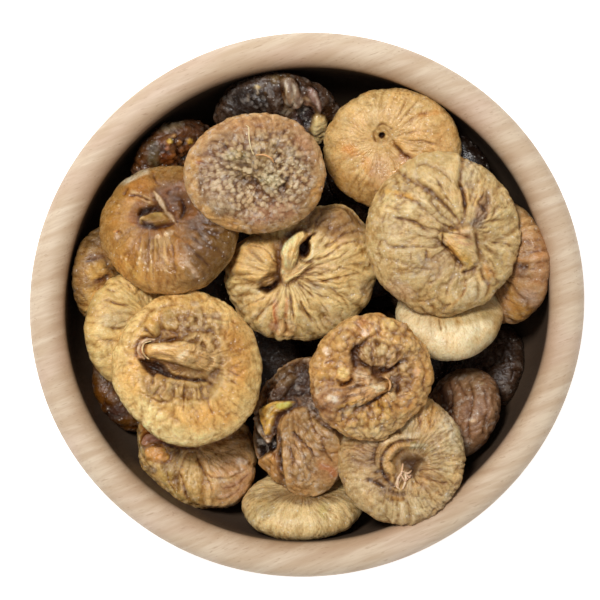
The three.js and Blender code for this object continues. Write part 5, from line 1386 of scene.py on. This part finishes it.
            (0.5, 0.5, (6, 11), (7.4, 3), (6.4, -5), (7, -11)),
        ],
        patches=[
            # The dark strip at (-5, 4) is amber skin on the steep face that looks away, with painted shade
            (-5, 4, 1.6, 11, 20, (96, 58, 26), 0.9), (2, 12, 4, 5, 0, (164, 132, 98), 0.6),
            (1, -10, 4, 3, 0, (168, 136, 108), 0.6), (3, -1.6, 1, 0.5, -10, (226, 200, 170), 0.8),
            (6, 9.6, 0.9, 0.6, 0, (206, 182, 152), 0.7), (1, -7.8, 1.6, 0.7, 0, (214, 186, 168), 0.7),
        ],
    ),
    # Pale, seen from its edge
    "fig_low_front": dict(
        slot="skin_pale", base=(232, 206, 154), bloom=0.2, centre=(0, 0), ribs=(60, 0.45, 0.2),
        fine=(82, 0.27, 0.09), stretch=14, edge=((228, 202, 150), 0.3),
        patches=[
            (0, 3, 16, 2.6, 0, (128, 98, 60), 0.8), (6, -1.6, 1.6, 3, 0, (200, 186, 110), 0.5),
            (-12, 0, 4, 4, 0, (176, 150, 100), 0.5), (0, -8, 10, 2, 8, (234, 204, 150), 0.5),
        ],
    ),
    # Yellow-brown, with a dark fold
    "fig_low_left": dict(
        slot="skin_brown", base=(166, 128, 78), bloom=0.2, centre=(0, 0), ribs=(25, 0.5, 0.4),
        fine=(68, 0.27, 0.09), crinkle=(3.4, 0.36, 0.11),
        creases=[(0.8, 1, (-4, -1.8), (0.6, 0.6)), (0.6, 0.8, (-8, 4), (-3, 5.4))],
        patches=[
            (-4.6, 1, 3.4, 3, 20, (214, 170, 94), 0.85), (-4, 5.6, 4, 1, 0, (106, 62, 36), 0.7),
            (-3, -1.6, 2.4, 0.9, 20, (98, 54, 32), 0.8), (-3, -8, 6, 5, 0, (222, 186, 116), 0.9),
            # The dark patch on the upper part is painted shade
            (-5, 14, 6, 6, 0, (96, 72, 42), 0.7),
        ],
    ),
    # Dark brown
    "fig_low_left_front": dict(
        slot="skin_brown", base=(106, 66, 20), bloom=0.2, centre=(0, 0), ribs=(19, 0.9, 0.6),
        fine=(68, 0.27, 0.09),
        patches=[
            (-8, 4, 3, 1.2, 10, (132, 120, 100), 0.6), (-5, -8, 4, 3, 0, (70, 48, 50), 0.7),
            (-6, 0, 4, 3, 0, (136, 92, 48), 0.5), (-10, 8, 4, 6, 0, (84, 58, 38), 0.6),
        ],
    ),
    # Almost black, with pale ridges and a cream neck
    "fig_low_back": dict(
        slot="skin_dark", base=(82, 62, 50), bloom=0.25, centre=(0, 0), ribs=(21, 1.0, 0.7),
        fine=(60, 0.3, 0.14), crinkle=(2.9, 0.85, 0.18),
        areas=[
            (1.2, 1.2, (128, 104, 88), 0.7, 0.3, (0.5, 10), (1.6, 5), (3.4, 1.6), (6.4, 1), (8, 3.4), (7,
             7), (5, 10.6)),
            (-1.4, 1.2, (60, 42, 54), 0.9, 0.3, (5.6, 1), (8, 2.4), (11.6, 1), (11.4, -3.6), (8, -4.4),
             (6, -2)),
            (1.0, 1, (136, 106, 98), 0.7, 0.4, (9, 8), (12, 7), (14, 2), (13, -1), (11.6, 1.6), (9.4, 4)),
            (1.2, 1.2, (226, 200, 146), 0.85, 0.4, (11, -1), (14.6, -0.6), (16, -5), (13, -9), (10.4,
             -7)),
        ],
        lines=[
            (0.5, (222, 212, 202), 0.9, (2, 9.6), (2.6, 7), (1.8, 4.6), (3.4, 2.4)),
            (0.5, (212, 200, 188), 0.85, (4, 9), (5, 6.6), (4.4, 4), (6, 2.4)),
            (0.4, (206, 196, 186), 0.85, (-6.4, 8.8), (-6, 6.6), (-6.6, 5)),
            (0.4, (156, 138, 122), 0.6, (-9, 6), (-9.4, 3)),
            (0.4, (146, 130, 114), 0.6, (-3.6, 7), (-4, 3.6)),
            (0.5, (226, 212, 200), 0.85, (6.4, 3.6), (8.4, 4.4), (10, 3.4)),
            (0.4, (190, 170, 160), 0.7, (10, 6.4), (12, 4), (12.6, 1)),
        ],
        creases=[(0.8, 1.4, (1.4, 9), (2, 4), (1, 0)), (0.6, 0.8, (-3, 8), (-4, 3))],
        patches=[
            (-9, 3, 8, 6, 0, (36, 27, 25), 0.8), (4, 5, 1.6, 3.4, -30, (188, 176, 164), 0.8),
            (3.4, 1, 2.4, 1, 30, (176, 164, 152), 0.7), (9, 3, 4, 4, -30, (148, 118, 104), 0.8),
            (7, -1, 2.6, 2, 0, (82, 60, 72), 0.7), (12, -4, 2.4, 4, -10, (230, 208, 154), 0.85),
            (1, 10, 4, 1.6, 0, (124, 104, 72), 0.8), (-5, 8, 2.4, 1, 20, (128, 116, 108), 0.7),
            (-6.2, 7.8, 0.8, 0.6, 0, (226, 200, 92), 0.9), (9, -7, 3, 2, 0, (140, 112, 76), 0.6),
        ],
    ),
    # Dark and torn, so that some of its seeds show
    "fig_low_back_left": dict(
        slot="skin_dark", base=(104, 66, 36), bloom=0.1, centre=(0, 0), ribs=(12, 0.4, 0.3),
        crinkle=(2.5, 1.2, 0.25),
        beads=[(2.2, 0.8, 0.4, (156, 96, 48), 0.5, 0, 3, 6, 5, 0)],
        domes=[
            (-2.1, 6.4, 1, 0.7, (246, 216, 112)), (3.8, 6.4, 1.1, 0.8, (236, 196, 84)),
            (-3, 4, 0.8, 0.5, (196, 132, 96)), (0.6, 6, 0.9, 0.5, (172, 120, 62)),
            (-1, 8, 0.8, 0.5, (206, 160, 100)), (1.2, 2.2, 0.8, 0.4, (140, 96, 60)),
        ],
        patches=[
            (9, 4, 4, 8, 0, BLACK, 0.85), (3, 13, 6, 2.4, 0, (48, 34, 28), 0.7),
            (-2, 11, 4, 2, 20, (132, 118, 98), 0.8), (-7, 2, 2.4, 5, 0, (92, 80, 54), 0.8),
            (2, 0, 4, 2.6, 0, BLACK, 0.8), (-3, 1, 3, 1.6, 0, (150, 82, 34), 0.6),
        ],
    ),
    # Dark brown, partly painted shade for the deep place where it lies
    "fig_low_right": dict(
        slot="skin_brown", base=(70, 50, 38), bloom=0.2, centre=(0, 0), ribs=(19, 0.5, 0.5),
        crinkle=(2.9, 0.73, 0.18),
    ),
    # Nearly black: dark skin with the shade of the deep place where it lies painted in
    "fig_low_right_back": dict(
        slot="skin_dark", base=(34, 24, 20), bloom=0.1, centre=(0, 0), ribs=(19, 0.5, 0.5),
        crinkle=(2.9, 0.73, 0.18),
    ),
}

# How the hidden figs look, as far as they show between the others: a dark brown that is partly painted shade
# for the gaps
HIDDEN_LOOK = dict(slot="skin_amber", base=(58, 40, 27), bloom=0.1, centre=(0, 0), ribs=(15, 0.6, 0.4))


def dressed(shape, look):
    """A fig's skin with everything its look says."""
    skin = Skin(shape, look)
    centre = look["centre"]
    count, depth, shade = look["ribs"]
    stretch = look.get("stretch", 10)
    skin.ribs(centre, count, depth, shade, stretch)
    if look.get("fine"):
        count, depth, shade = look["fine"]
        skin.ribs(centre, count, depth, shade, 0.6 * stretch)
    if look.get("crinkle"):
        skin.crinkle(*look["crinkle"])
    if shape["grain"] == FINE:
        skin.crinkle(*FINE_WRINKLES)
    if look.get("edge"):
        skin.edge_tint(*look["edge"])
    skin.patches(look.get("patches", []))
    for kind in ("beads", "fans", "rolls", "areas", "lines", "creases", "hollows", "domes"):
        getattr(skin, kind)(look.get(kind, []))
    return skin


def net_faces(rings, around, outward):
    """Faces of a net of rings of points that is closed by two more points, at its first and last ring."""
    i = np.arange(around)
    j = (i + 1) % around
    rows = np.arange(rings - 1)[:, None] * around
    quads = np.stack([rows + i, rows + j, rows + around + j, rows + around + i], -1).reshape(-1, 4)
    pole = rings * around
    last = pole - around
    first_cap = np.stack([np.full(around, pole), j, i], 1)
    last_cap = np.stack([np.full(around, pole + 1), last + i, last + j], 1)
    if not outward:
        quads = quads[:, [0, 3, 2, 1]]
        first_cap = first_cap[:, [0, 2, 1]]
        last_cap = last_cap[:, [0, 2, 1]]
    return quads.tolist() + first_cap.tolist() + last_cap.tolist()


def tube(line, radii, sides=8):
    """Vertices and faces of a closed tapering tube along a line."""
    points = []
    for i, spot in enumerate(line):
        ahead = line[min(i + 1, len(line) - 1)] - line[max(i - 1, 0)]
        ahead = ahead / max(np.linalg.norm(ahead), 1e-9)
        side = np.cross(ahead, (0, 0, 1))
        side = side / max(np.linalg.norm(side), 1e-9)
        over = np.cross(side, ahead)
        for k in range(sides):
            turn = 2 * math.pi * k / sides
            points.append(spot + radii[i] * (side * math.cos(turn) + over * math.sin(turn)))
    faces = []
    for i in range(len(line) - 1):
        for k in range(sides):
            a = i * sides + k
            b = i * sides + (k + 1) % sides
            faces.append((a, b, b + sides, a + sides))
    faces.append(tuple(range(sides - 1, -1, -1)))
    faces.append(tuple((len(line) - 1) * sides + k for k in range(sides)))
    return points, faces


def add_attribute(mesh, name, kind, values):
    layer = mesh.attributes.new(name, kind, "POINT")
    key = {"FLOAT_COLOR": "color", "FLOAT_VECTOR": "vector"}.get(kind, "value")
    layer.data.foreach_set(key, np.asarray(values, np.float32).ravel())


def new_object(name, points, faces, attributes, material, node):
    """A smooth mesh object that stands for a node of the solid model. points are in millimetres."""
    mesh = bpy.data.meshes.new(name)
    mesh.from_pydata((points * MM).tolist(), [], faces)
    mesh.polygons.foreach_set("use_smooth", [True] * len(mesh.polygons))
    for attribute in attributes:
        add_attribute(mesh, *attribute)
    mesh.materials.append(material)
    made = bpy.data.objects.new(name, mesh)
    bpy.context.scene.collection.objects.link(made)
    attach(made, "root")
    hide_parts(node)


def skin_tone(skin):
    """Colours of a skin's points, with shade painted into grooves and creases, blue darkened the most, and
    painted highlight on ridges.
    """
    sunk = skin.cavities() - RELIEF_SHADE_SHARE * np.clip(skin.relief, -0.7, 0.7)
    colour = skin.colour * np.exp(-np.maximum(sunk, 0)[:, None] * np.array(PAINTED_GROOVE_SHADE))
    colour = colour * (1 + np.clip(-sunk, 0, 1)[:, None] * np.array(PAINTED_RIDGE_LIGHT))
    return colour * np.exp(-np.clip(skin.dark, 0, 1)[:, None] * np.array(PAINTED_CREASE_SHADE)) * np.array(HONEY)


def thread_line(route, lift, middle, points):
    """The middle of a thread that lies on the skin, a little above the points under it."""
    spots = []
    for x, y in rounded_route(route, 8) + np.array(middle):
        near = np.argmin(np.hypot(points[:, 0] - x, points[:, 1] - y) - 0.02 * points[:, 2])
        spots.append([x, y, points[near, 2] + lift * 0.6])
    spots = np.array(spots)
    spots[1:-1, 2] = (spots[:-2, 2] + 2 * spots[1:-1, 2] + spots[2:, 2]) / 4
    return spots


def skin_object(shape, look, material):
    """The visible fig as one mesh, with its threads, each given as radius, lift, colour and a route."""
    skin = dressed(shape, look)
    points = skin.points()
    colour = skin_tone(skin)
    faces = net_faces(skin.rings, skin.around, outward=False)
    bloom = skin.bloom
    for radius, lift, tint, *route in look.get("threads", []):
        spots = thread_line(route, lift, shape["at"], points)
        taper = radius * (0.55 + 0.45 * np.sin(np.linspace(0.15, math.pi - 0.15, len(spots))))
        more, net = tube(spots, taper)
        faces += [tuple(len(points) + k for k in face) for face in net]
        points = np.vstack([points, more])
        colour = np.vstack([colour, np.tile(linear(tint), (len(more), 1))])
        bloom = np.concatenate([bloom, np.full(len(more), THREAD_BLOOM)])
    angle, _, run = skin.about(look["centre"])
    fibre = np.zeros((len(points), 3))
    fibre[: len(angle)] = np.stack([np.cos(angle), np.sin(angle), run / 10], 1)
    attributes = [
        ("tone", "FLOAT_COLOR", np.hstack([np.clip(colour, 0, 1), np.ones((len(colour), 1))])),
        ("bloom", "FLOAT", np.clip(bloom, 0, 1)),
        ("fibre", "FLOAT_VECTOR", fibre),
    ]
    new_object(shape["name"] + "_skin", points, faces, attributes, material, shape["name"])


class Nodes:
    """Short ways to make and join shader nodes."""

    def __init__(self, name):
        self.material = bpy.data.materials.new(name)
        self.material.use_nodes = True
        self.tree = self.material.node_tree
        self.tree.nodes.clear()
        self.output = self.tree.nodes.new("ShaderNodeOutputMaterial")
        self.shader = self.tree.nodes.new("ShaderNodeBsdfPrincipled")
        self.tree.links.new(self.shader.outputs[0], self.output.inputs[0])

    def set(self, socket, value):
        if isinstance(value, bpy.types.NodeSocket):
            self.tree.links.new(value, socket)
        else:
            socket.default_value = value

    def shade(self, **values):
        for name, value in values.items():
            self.set(self.shader.inputs[name.replace("_", " ")], value)

    def spot(self):
        """Places on the object itself, in metres."""
        return self.tree.nodes.new("ShaderNodeTexCoord").outputs["Object"]

    def turned(self, spot, scale, turn):
        """Places turned back by an angle and divided by a scale."""
        mapping = self.tree.nodes.new("ShaderNodeMapping")
        mapping.vector_type = "TEXTURE"
        mapping.inputs["Rotation"].default_value = (0, 0, math.radians(turn))
        mapping.inputs["Scale"].default_value = scale
        self.tree.links.new(spot, mapping.inputs["Vector"])
        return mapping.outputs[0]

    def place(self, scale, turn=0.0):
        """Places for a pattern whose features are about the scale in millimetres."""
        return self.turned(self.spot(), tuple(MM * s for s in scale), turn)

    def scaled(self, vector, scale):
        made = self.tree.nodes.new("ShaderNodeVectorMath")
        made.operation = "MULTIPLY"
        self.set(made.inputs[0], vector)
        made.inputs[1].default_value = scale
        return made.outputs[0]

    def radius(self):
        """Distance from the bowl's axis, with its oval evened out, and the height, both in metres."""
        spot = self.spot()
        flat = self.scaled(self.turned(spot, (1, SHRINKAGE, 1), GRAIN_DIRECTION), (1, 1, 0))
        length = self.tree.nodes.new("ShaderNodeVectorMath")
        length.operation = "LENGTH"
        self.tree.links.new(flat, length.inputs[0])
        apart = self.tree.nodes.new("ShaderNodeSeparateXYZ")
        self.tree.links.new(spot, apart.inputs[0])
        return length.outputs["Value"], apart.outputs["Z"]

    def noise(self, place, detail=3.0, rough=0.55, bend=0.0):
        made = self.tree.nodes.new("ShaderNodeTexNoise")
        self.set(made.inputs["Vector"], place)
        made.inputs["Scale"].default_value = 1
        made.inputs["Detail"].default_value = detail
        made.inputs["Roughness"].default_value = rough
        made.inputs["Distortion"].default_value = bend
        return made.outputs["Fac"]

    def cells(self, place):
        made = self.tree.nodes.new("ShaderNodeTexVoronoi")
        self.set(made.inputs["Vector"], place)
        made.inputs["Scale"].default_value = 1
        return made.outputs["Distance"]

    def attribute(self, name, output):
        made = self.tree.nodes.new("ShaderNodeAttribute")
        made.attribute_name = name
        return made.outputs[output]

    def ramp(self, value, low, high, start=0.0, end=1.0):
        made = self.tree.nodes.new("ShaderNodeMapRange")
        made.interpolation_type = "SMOOTHSTEP"
        self.set(made.inputs["Value"], value)
        for name, number in (("From Min", low), ("From Max", high), ("To Min", start), ("To Max", end)):
            made.inputs[name].default_value = number
        return made.outputs[0]

    def maths(self, operation, a, b):
        made = self.tree.nodes.new("ShaderNodeMath")
        made.operation = operation
        self.set(made.inputs[0], a)
        self.set(made.inputs[1], b)
        return made.outputs[0]

    def mix(self, share, a, b, blend="MIX"):
        made = self.tree.nodes.new("ShaderNodeMix")
        made.data_type = "RGBA"
        made.blend_type = blend
        self.set(made.inputs[0], share)
        self.set(made.inputs[6], a)
        self.set(made.inputs[7], b)
        return made.outputs[2]

    def bump(self, height, distance, strength=1.0, below=None):
        made = self.tree.nodes.new("ShaderNodeBump")
        made.inputs["Strength"].default_value = strength
        made.inputs["Distance"].default_value = distance * MM
        self.set(made.inputs["Height"], height)
        if below is not None:
            self.set(made.inputs["Normal"], below)
        return made.outputs[0]


def skin_material(name, smoothest):
    """Dried fig skin: waxy and mottled, with fibres that run out from the neck, a floury bloom, and pale
    specks that are partly sugar and partly painted glints of light.
    """
    nodes = Nodes(name)
    tone = nodes.attribute("tone", "Color")
    bloom = nodes.attribute("bloom", "Fac")
    fibre = nodes.attribute("fibre", "Vector")
    mottle = nodes.noise(nodes.place((2.0, 2.0, 2.0)), 4, 0.6, 0.3)
    fine = nodes.noise(nodes.place((0.7, 0.7, 0.7)), 3, 0.55)
    warm = nodes.noise(nodes.place((6, 6, 6)), 2, 0.5)
    cool = nodes.noise(nodes.place((9, 7, 8), 40), 3, 0.6)
    strands = nodes.noise(nodes.scaled(fibre, (30, 30, 7)), 2, 0.6, 0.4)
    hairs = nodes.noise(nodes.scaled(fibre, (70, 70, 12)), 2, 0.6, 0.4)
    colour = nodes.mix(nodes.ramp(strands, 0.35, 0.55, 0.36, 0.0), tone, (0.72, 0.56, 0.38, 1), "MULTIPLY")
    colour = nodes.mix(nodes.ramp(hairs, 0.38, 0.55, 0.26, 0.0), colour, (0.7, 0.56, 0.4, 1), "MULTIPLY")
    colour = nodes.mix(nodes.ramp(mottle, 0.35, 0.6, 0.25, 0.0), colour, (0.72, 0.55, 0.37, 1), "MULTIPLY")
    colour = nodes.mix(nodes.ramp(warm, 0.45, 0.7, 0.0, 0.5), colour, (1.0, 0.84, 0.62, 1), "MULTIPLY")
    colour = nodes.mix(nodes.ramp(cool, 0.45, 0.65, 0.0, 0.6), colour, (0.8, 0.84, 0.84, 1), "MULTIPLY")
    flour = nodes.maths("MULTIPLY", nodes.ramp(mottle, 0.52, 0.66), bloom)
    colour = nodes.mix(nodes.maths("MULTIPLY", flour, 0.55), colour, (0.76, 0.66, 0.55, 1))
    # Pale specks: partly sugar, partly painted glints of light
    specks = nodes.ramp(nodes.cells(nodes.place((1.5, 1.5, 1.5))), 0.2, 0.1)
    specks = nodes.maths("MULTIPLY", specks, nodes.ramp(mottle, 0.5, 0.58))
    colour = nodes.mix(nodes.maths("MULTIPLY", specks, 0.55), colour, (0.9, 0.84, 0.74, 1))
    grain = nodes.bump(fine, 0.2, 1.0)
    grain = nodes.bump(hairs, 0.1, 0.7, grain)
    grain = nodes.bump(strands, 0.22, 0.8, grain)
    rough = nodes.ramp(bloom, 0.0, 1.0, smoothest, smoothest + 0.25)
    rough = nodes.maths("ADD", rough, nodes.ramp(mottle, 0.35, 0.65, -0.12, 0.1))
    nodes.shade(Base_Color=colour, Roughness=rough, Normal=grain, Specular_IOR_Level=0.5)
    nodes.shade(Subsurface_Weight=0.1, Subsurface_Scale=0.001, Subsurface_Radius=(1.0, 0.5, 0.25))
    return nodes.material


def wood_material():
    """Waxed beech: pinkish tan with soft bands, fine lines and flecks along the grain, shade painted towards
    the inner lip, and painted shade near black inside.
    """
    nodes = Nodes("beech")
    bands = nodes.noise(nodes.place((34, 4.2, 30), GRAIN_DIRECTION), 3, 0.5, 0.6)
    lines = nodes.noise(nodes.place((13, 1.5, 8), GRAIN_DIRECTION + 3), 3, 0.6, 0.7)
    hairs = nodes.noise(nodes.place((12, 0.5, 0.5), GRAIN_DIRECTION), 2, 0.6)
    flecks = nodes.noise(nodes.place((3.4, 0.5, 0.5), GRAIN_DIRECTION), 1, 0.5)
    blush = nodes.noise(nodes.place((30, 14, 14), GRAIN_DIRECTION), 2, 0.5)
    colour = nodes.mix(nodes.ramp(bands, 0.36, 0.62), (0.6, 0.445, 0.3, 1), (0.72, 0.58, 0.425, 1))
    colour = nodes.mix(nodes.ramp(blush, 0.45, 0.7, 0, 0.5), colour, (0.69, 0.5, 0.39, 1))
    colour = nodes.mix(nodes.ramp(lines, 0.35, 0.6, 0.34, 0.0), colour, (0.52, 0.36, 0.24, 1))
    colour = nodes.mix(nodes.ramp(hairs, 0.35, 0.55, 0.16, 0.0), colour, (0.5, 0.34, 0.22, 1))
    colour = nodes.mix(nodes.ramp(flecks, 0.64, 0.74, 0.0, 0.5), colour, (0.42, 0.27, 0.17, 1))
    radius, rise = nodes.radius()
    edge = RIM_RADIUS * MM
    inner_side = nodes.attribute("inner_side", "Fac")
    # Painted shade: the rim darkens towards its inner edge
    painted_lip_shade = nodes.maths("MULTIPLY", inner_side, nodes.ramp(radius, edge - 0.0105, edge - 0.003, 0.62, 0.0))
    colour = nodes.mix(painted_lip_shade, colour, (0.62, 0.5, 0.39, 1), "MULTIPLY")
    # Painted shade: the inside wall turns near black a little below the rim
    top = BOWL_HEIGHT * MM
    painted_inside_shade = nodes.maths("MULTIPLY", inner_side, nodes.ramp(radius, edge - 0.009, edge - 0.0105))
    painted_inside_shade = nodes.maths("MULTIPLY", painted_inside_shade, nodes.ramp(rise, top - 0.002, top - 0.008))
    colour = nodes.mix(nodes.maths("MULTIPLY", painted_inside_shade, 0.95), colour, (0.05, 0.03, 0.018, 1))
    height = nodes.maths("ADD", hairs, nodes.maths("MULTIPLY", lines, 0.6))
    rough = nodes.ramp(lines, 0.3, 0.7, 0.62, 0.52)
    grain = nodes.bump(height, 0.08, 0.5)
    nodes.shade(Base_Color=colour, Roughness=rough, Normal=grain, Specular_IOR_Level=0.3)
    return nodes.material


def bowl_section():
    """Half section of the bowl, from the axis below to the axis above."""
    points = [(0.0, 0.0)]
    points += [(r, 0.0) for r in np.linspace(8, FOOT_RADIUS - FOOT_STEP - 0.5, 5)]
    points += [(FOOT_RADIUS - FOOT_STEP, 0.25), (FOOT_RADIUS - 0.6, 1.4)]
    middle = RIM_RADIUS - RIM_WIDTH / 2
    base = BOWL_HEIGHT - RIM_CROWN
    for swing in np.linspace(0, math.pi / 2, OUTSIDE_STEPS)[:-1]:
        radius = FOOT_RADIUS + (RIM_RADIUS - FOOT_RADIUS) * math.sin(swing)
        points.append((radius, FOOT_HEIGHT + (base - FOOT_HEIGHT) * (1 - math.cos(swing))))
    for swing in np.linspace(0, math.pi, RIM_STEPS):
        cosine = math.cos(swing)
        side = math.copysign(abs(cosine) ** (2 / RIM_FULLNESS), cosine)
        rise = max(math.sin(swing), 0) ** (2 / RIM_FULLNESS)
        points.append((middle + RIM_WIDTH / 2 * side, base + RIM_CROWN * rise))
    for swing in np.linspace(0, math.pi / 2, INSIDE_STEPS)[1:-1]:
        radius = (RIM_RADIUS - RIM_WIDTH) * math.cos(swing) ** (2 / INSIDE_FULLNESS)
        points.append((radius, base - (base - FLOOR_THICKNESS) * math.sin(swing) ** (2 / INSIDE_FULLNESS)))
    points.append((0.0, FLOOR_THICKNESS))
    return np.array(points)


def bowl_object(material):
    """The bowl: its half section turned round, and then pressed a little oval across the grain."""
    section = bowl_section()
    turn = 2 * math.pi * np.arange(BOWL_SIDES) / BOWL_SIDES
    rings = section[1:-1]
    x = rings[:, 0:1] * np.cos(turn)
    y = rings[:, 0:1] * np.sin(turn) * SHRINKAGE
    z = np.repeat(rings[:, 1:2], BOWL_SIDES, 1)
    cosine = math.cos(math.radians(GRAIN_DIRECTION))
    sine = math.sin(math.radians(GRAIN_DIRECTION))
    points = np.stack([x * cosine - y * sine, x * sine + y * cosine, z], -1)
    points = np.vstack([points.reshape(-1, 3), [[0, 0, section[0, 1]], [0, 0, section[-1, 1]]]])
    faces = net_faces(len(rings), BOWL_SIDES, outward=True)
    past_edge = np.arange(len(rings)) >= np.argmax(rings[:, 0])
    inner_side = np.append(np.repeat(past_edge, BOWL_SIDES), [False, True])
    new_object("bowl_wood", points, faces, [("inner_side", "FLOAT", inner_side)], material, "bowl")


# The photograph: seen from straight above
CAMERA_PLAN = (-2.14, 1.43)
# The camera stands CAMERA_RISE above the level SUBJECT_HEIGHT, where the photograph is PHOTO_WIDTH wide
CAMERA_RISE = 850
SUBJECT_HEIGHT = 62
PHOTO_WIDTH = 183.1
SENSOR = 36

# The floor, the even light all round and the round lamp, in metres and watts
FLOOR_HALF = 3
FLOOR_GLOW = 0.75
SKY_STRENGTH = 0.36
LAMP_WIDTH = 0.3
LAMP_POWER = 12.6
LAMP_PLACE = (-0.29, 0.39, 1.2)
LAMP_AIM = (0, 0, 0.05)


def add_camera():
    lens = SENSOR * CAMERA_RISE / PHOTO_WIDTH
    data = bpy.data.cameras.new("camera")
    data.sensor_width = SENSOR
    data.lens = lens
    data.clip_start = 0.05
    data.clip_end = 20
    made = bpy.data.objects.new("camera", data)
    made.location = (CAMERA_PLAN[0] * MM, CAMERA_PLAN[1] * MM, (SUBJECT_HEIGHT + CAMERA_RISE) * MM)
    bpy.context.scene.collection.objects.link(made)
    bpy.context.scene.camera = made


def add_floor():
    mesh = bpy.data.meshes.new("floor")
    corners = [(-1, -1), (1, -1), (1, 1), (-1, 1)]
    mesh.from_pydata([(FLOOR_HALF * x, FLOOR_HALF * y, 0) for x, y in corners], [], [(0, 1, 2, 3)])
    nodes = Nodes("floor")
    nodes.shade(Base_Color=(0.82, 0.82, 0.82, 1), Roughness=0.9, Specular_IOR_Level=0.0)
    nodes.shade(Emission_Color=(1, 1, 1, 1), Emission_Strength=FLOOR_GLOW)
    mesh.materials.append(nodes.material)
    made = bpy.data.objects.new("floor", mesh)
    bpy.context.scene.collection.objects.link(made)


def add_light():
    world = bpy.data.worlds.new("studio")
    world.use_nodes = True
    world.node_tree.nodes["Background"].inputs["Color"].default_value = (1, 1, 1, 1)
    world.node_tree.nodes["Background"].inputs["Strength"].default_value = SKY_STRENGTH
    bpy.context.scene.world = world
    data = bpy.data.lights.new("softbox", "AREA")
    data.shape = "DISK"
    data.size = LAMP_WIDTH
    data.energy = LAMP_POWER
    made = bpy.data.objects.new("softbox", data)
    made.location = LAMP_PLACE
    made.rotation_euler = (Vector(LAMP_AIM) - made.location).to_track_quat("-Z", "Y").to_euler()
    bpy.context.scene.collection.objects.link(made)
    bpy.context.scene.view_settings.view_transform = "Standard"


# How rough each kind of skin is where it has no bloom
ROUGHNESS = dict(skin_pale=0.38, skin_golden=0.25, skin_amber=0.22, skin_brown=0.3, skin_dark=0.24)

bowl_object(wood_material())
SKINS = {name: skin_material(name, roughness) for name, roughness in ROUGHNESS.items()}
for shape in SEEN_FIGS:
    look = LOOKS[shape["name"]]
    skin_object(shape, look, SKINS[look["slot"]])
for shape in hidden_figs():
    skin_object(shape, HIDDEN_LOOK, SKINS[HIDDEN_LOOK["slot"]])

add_floor()
add_light()
add_camera()
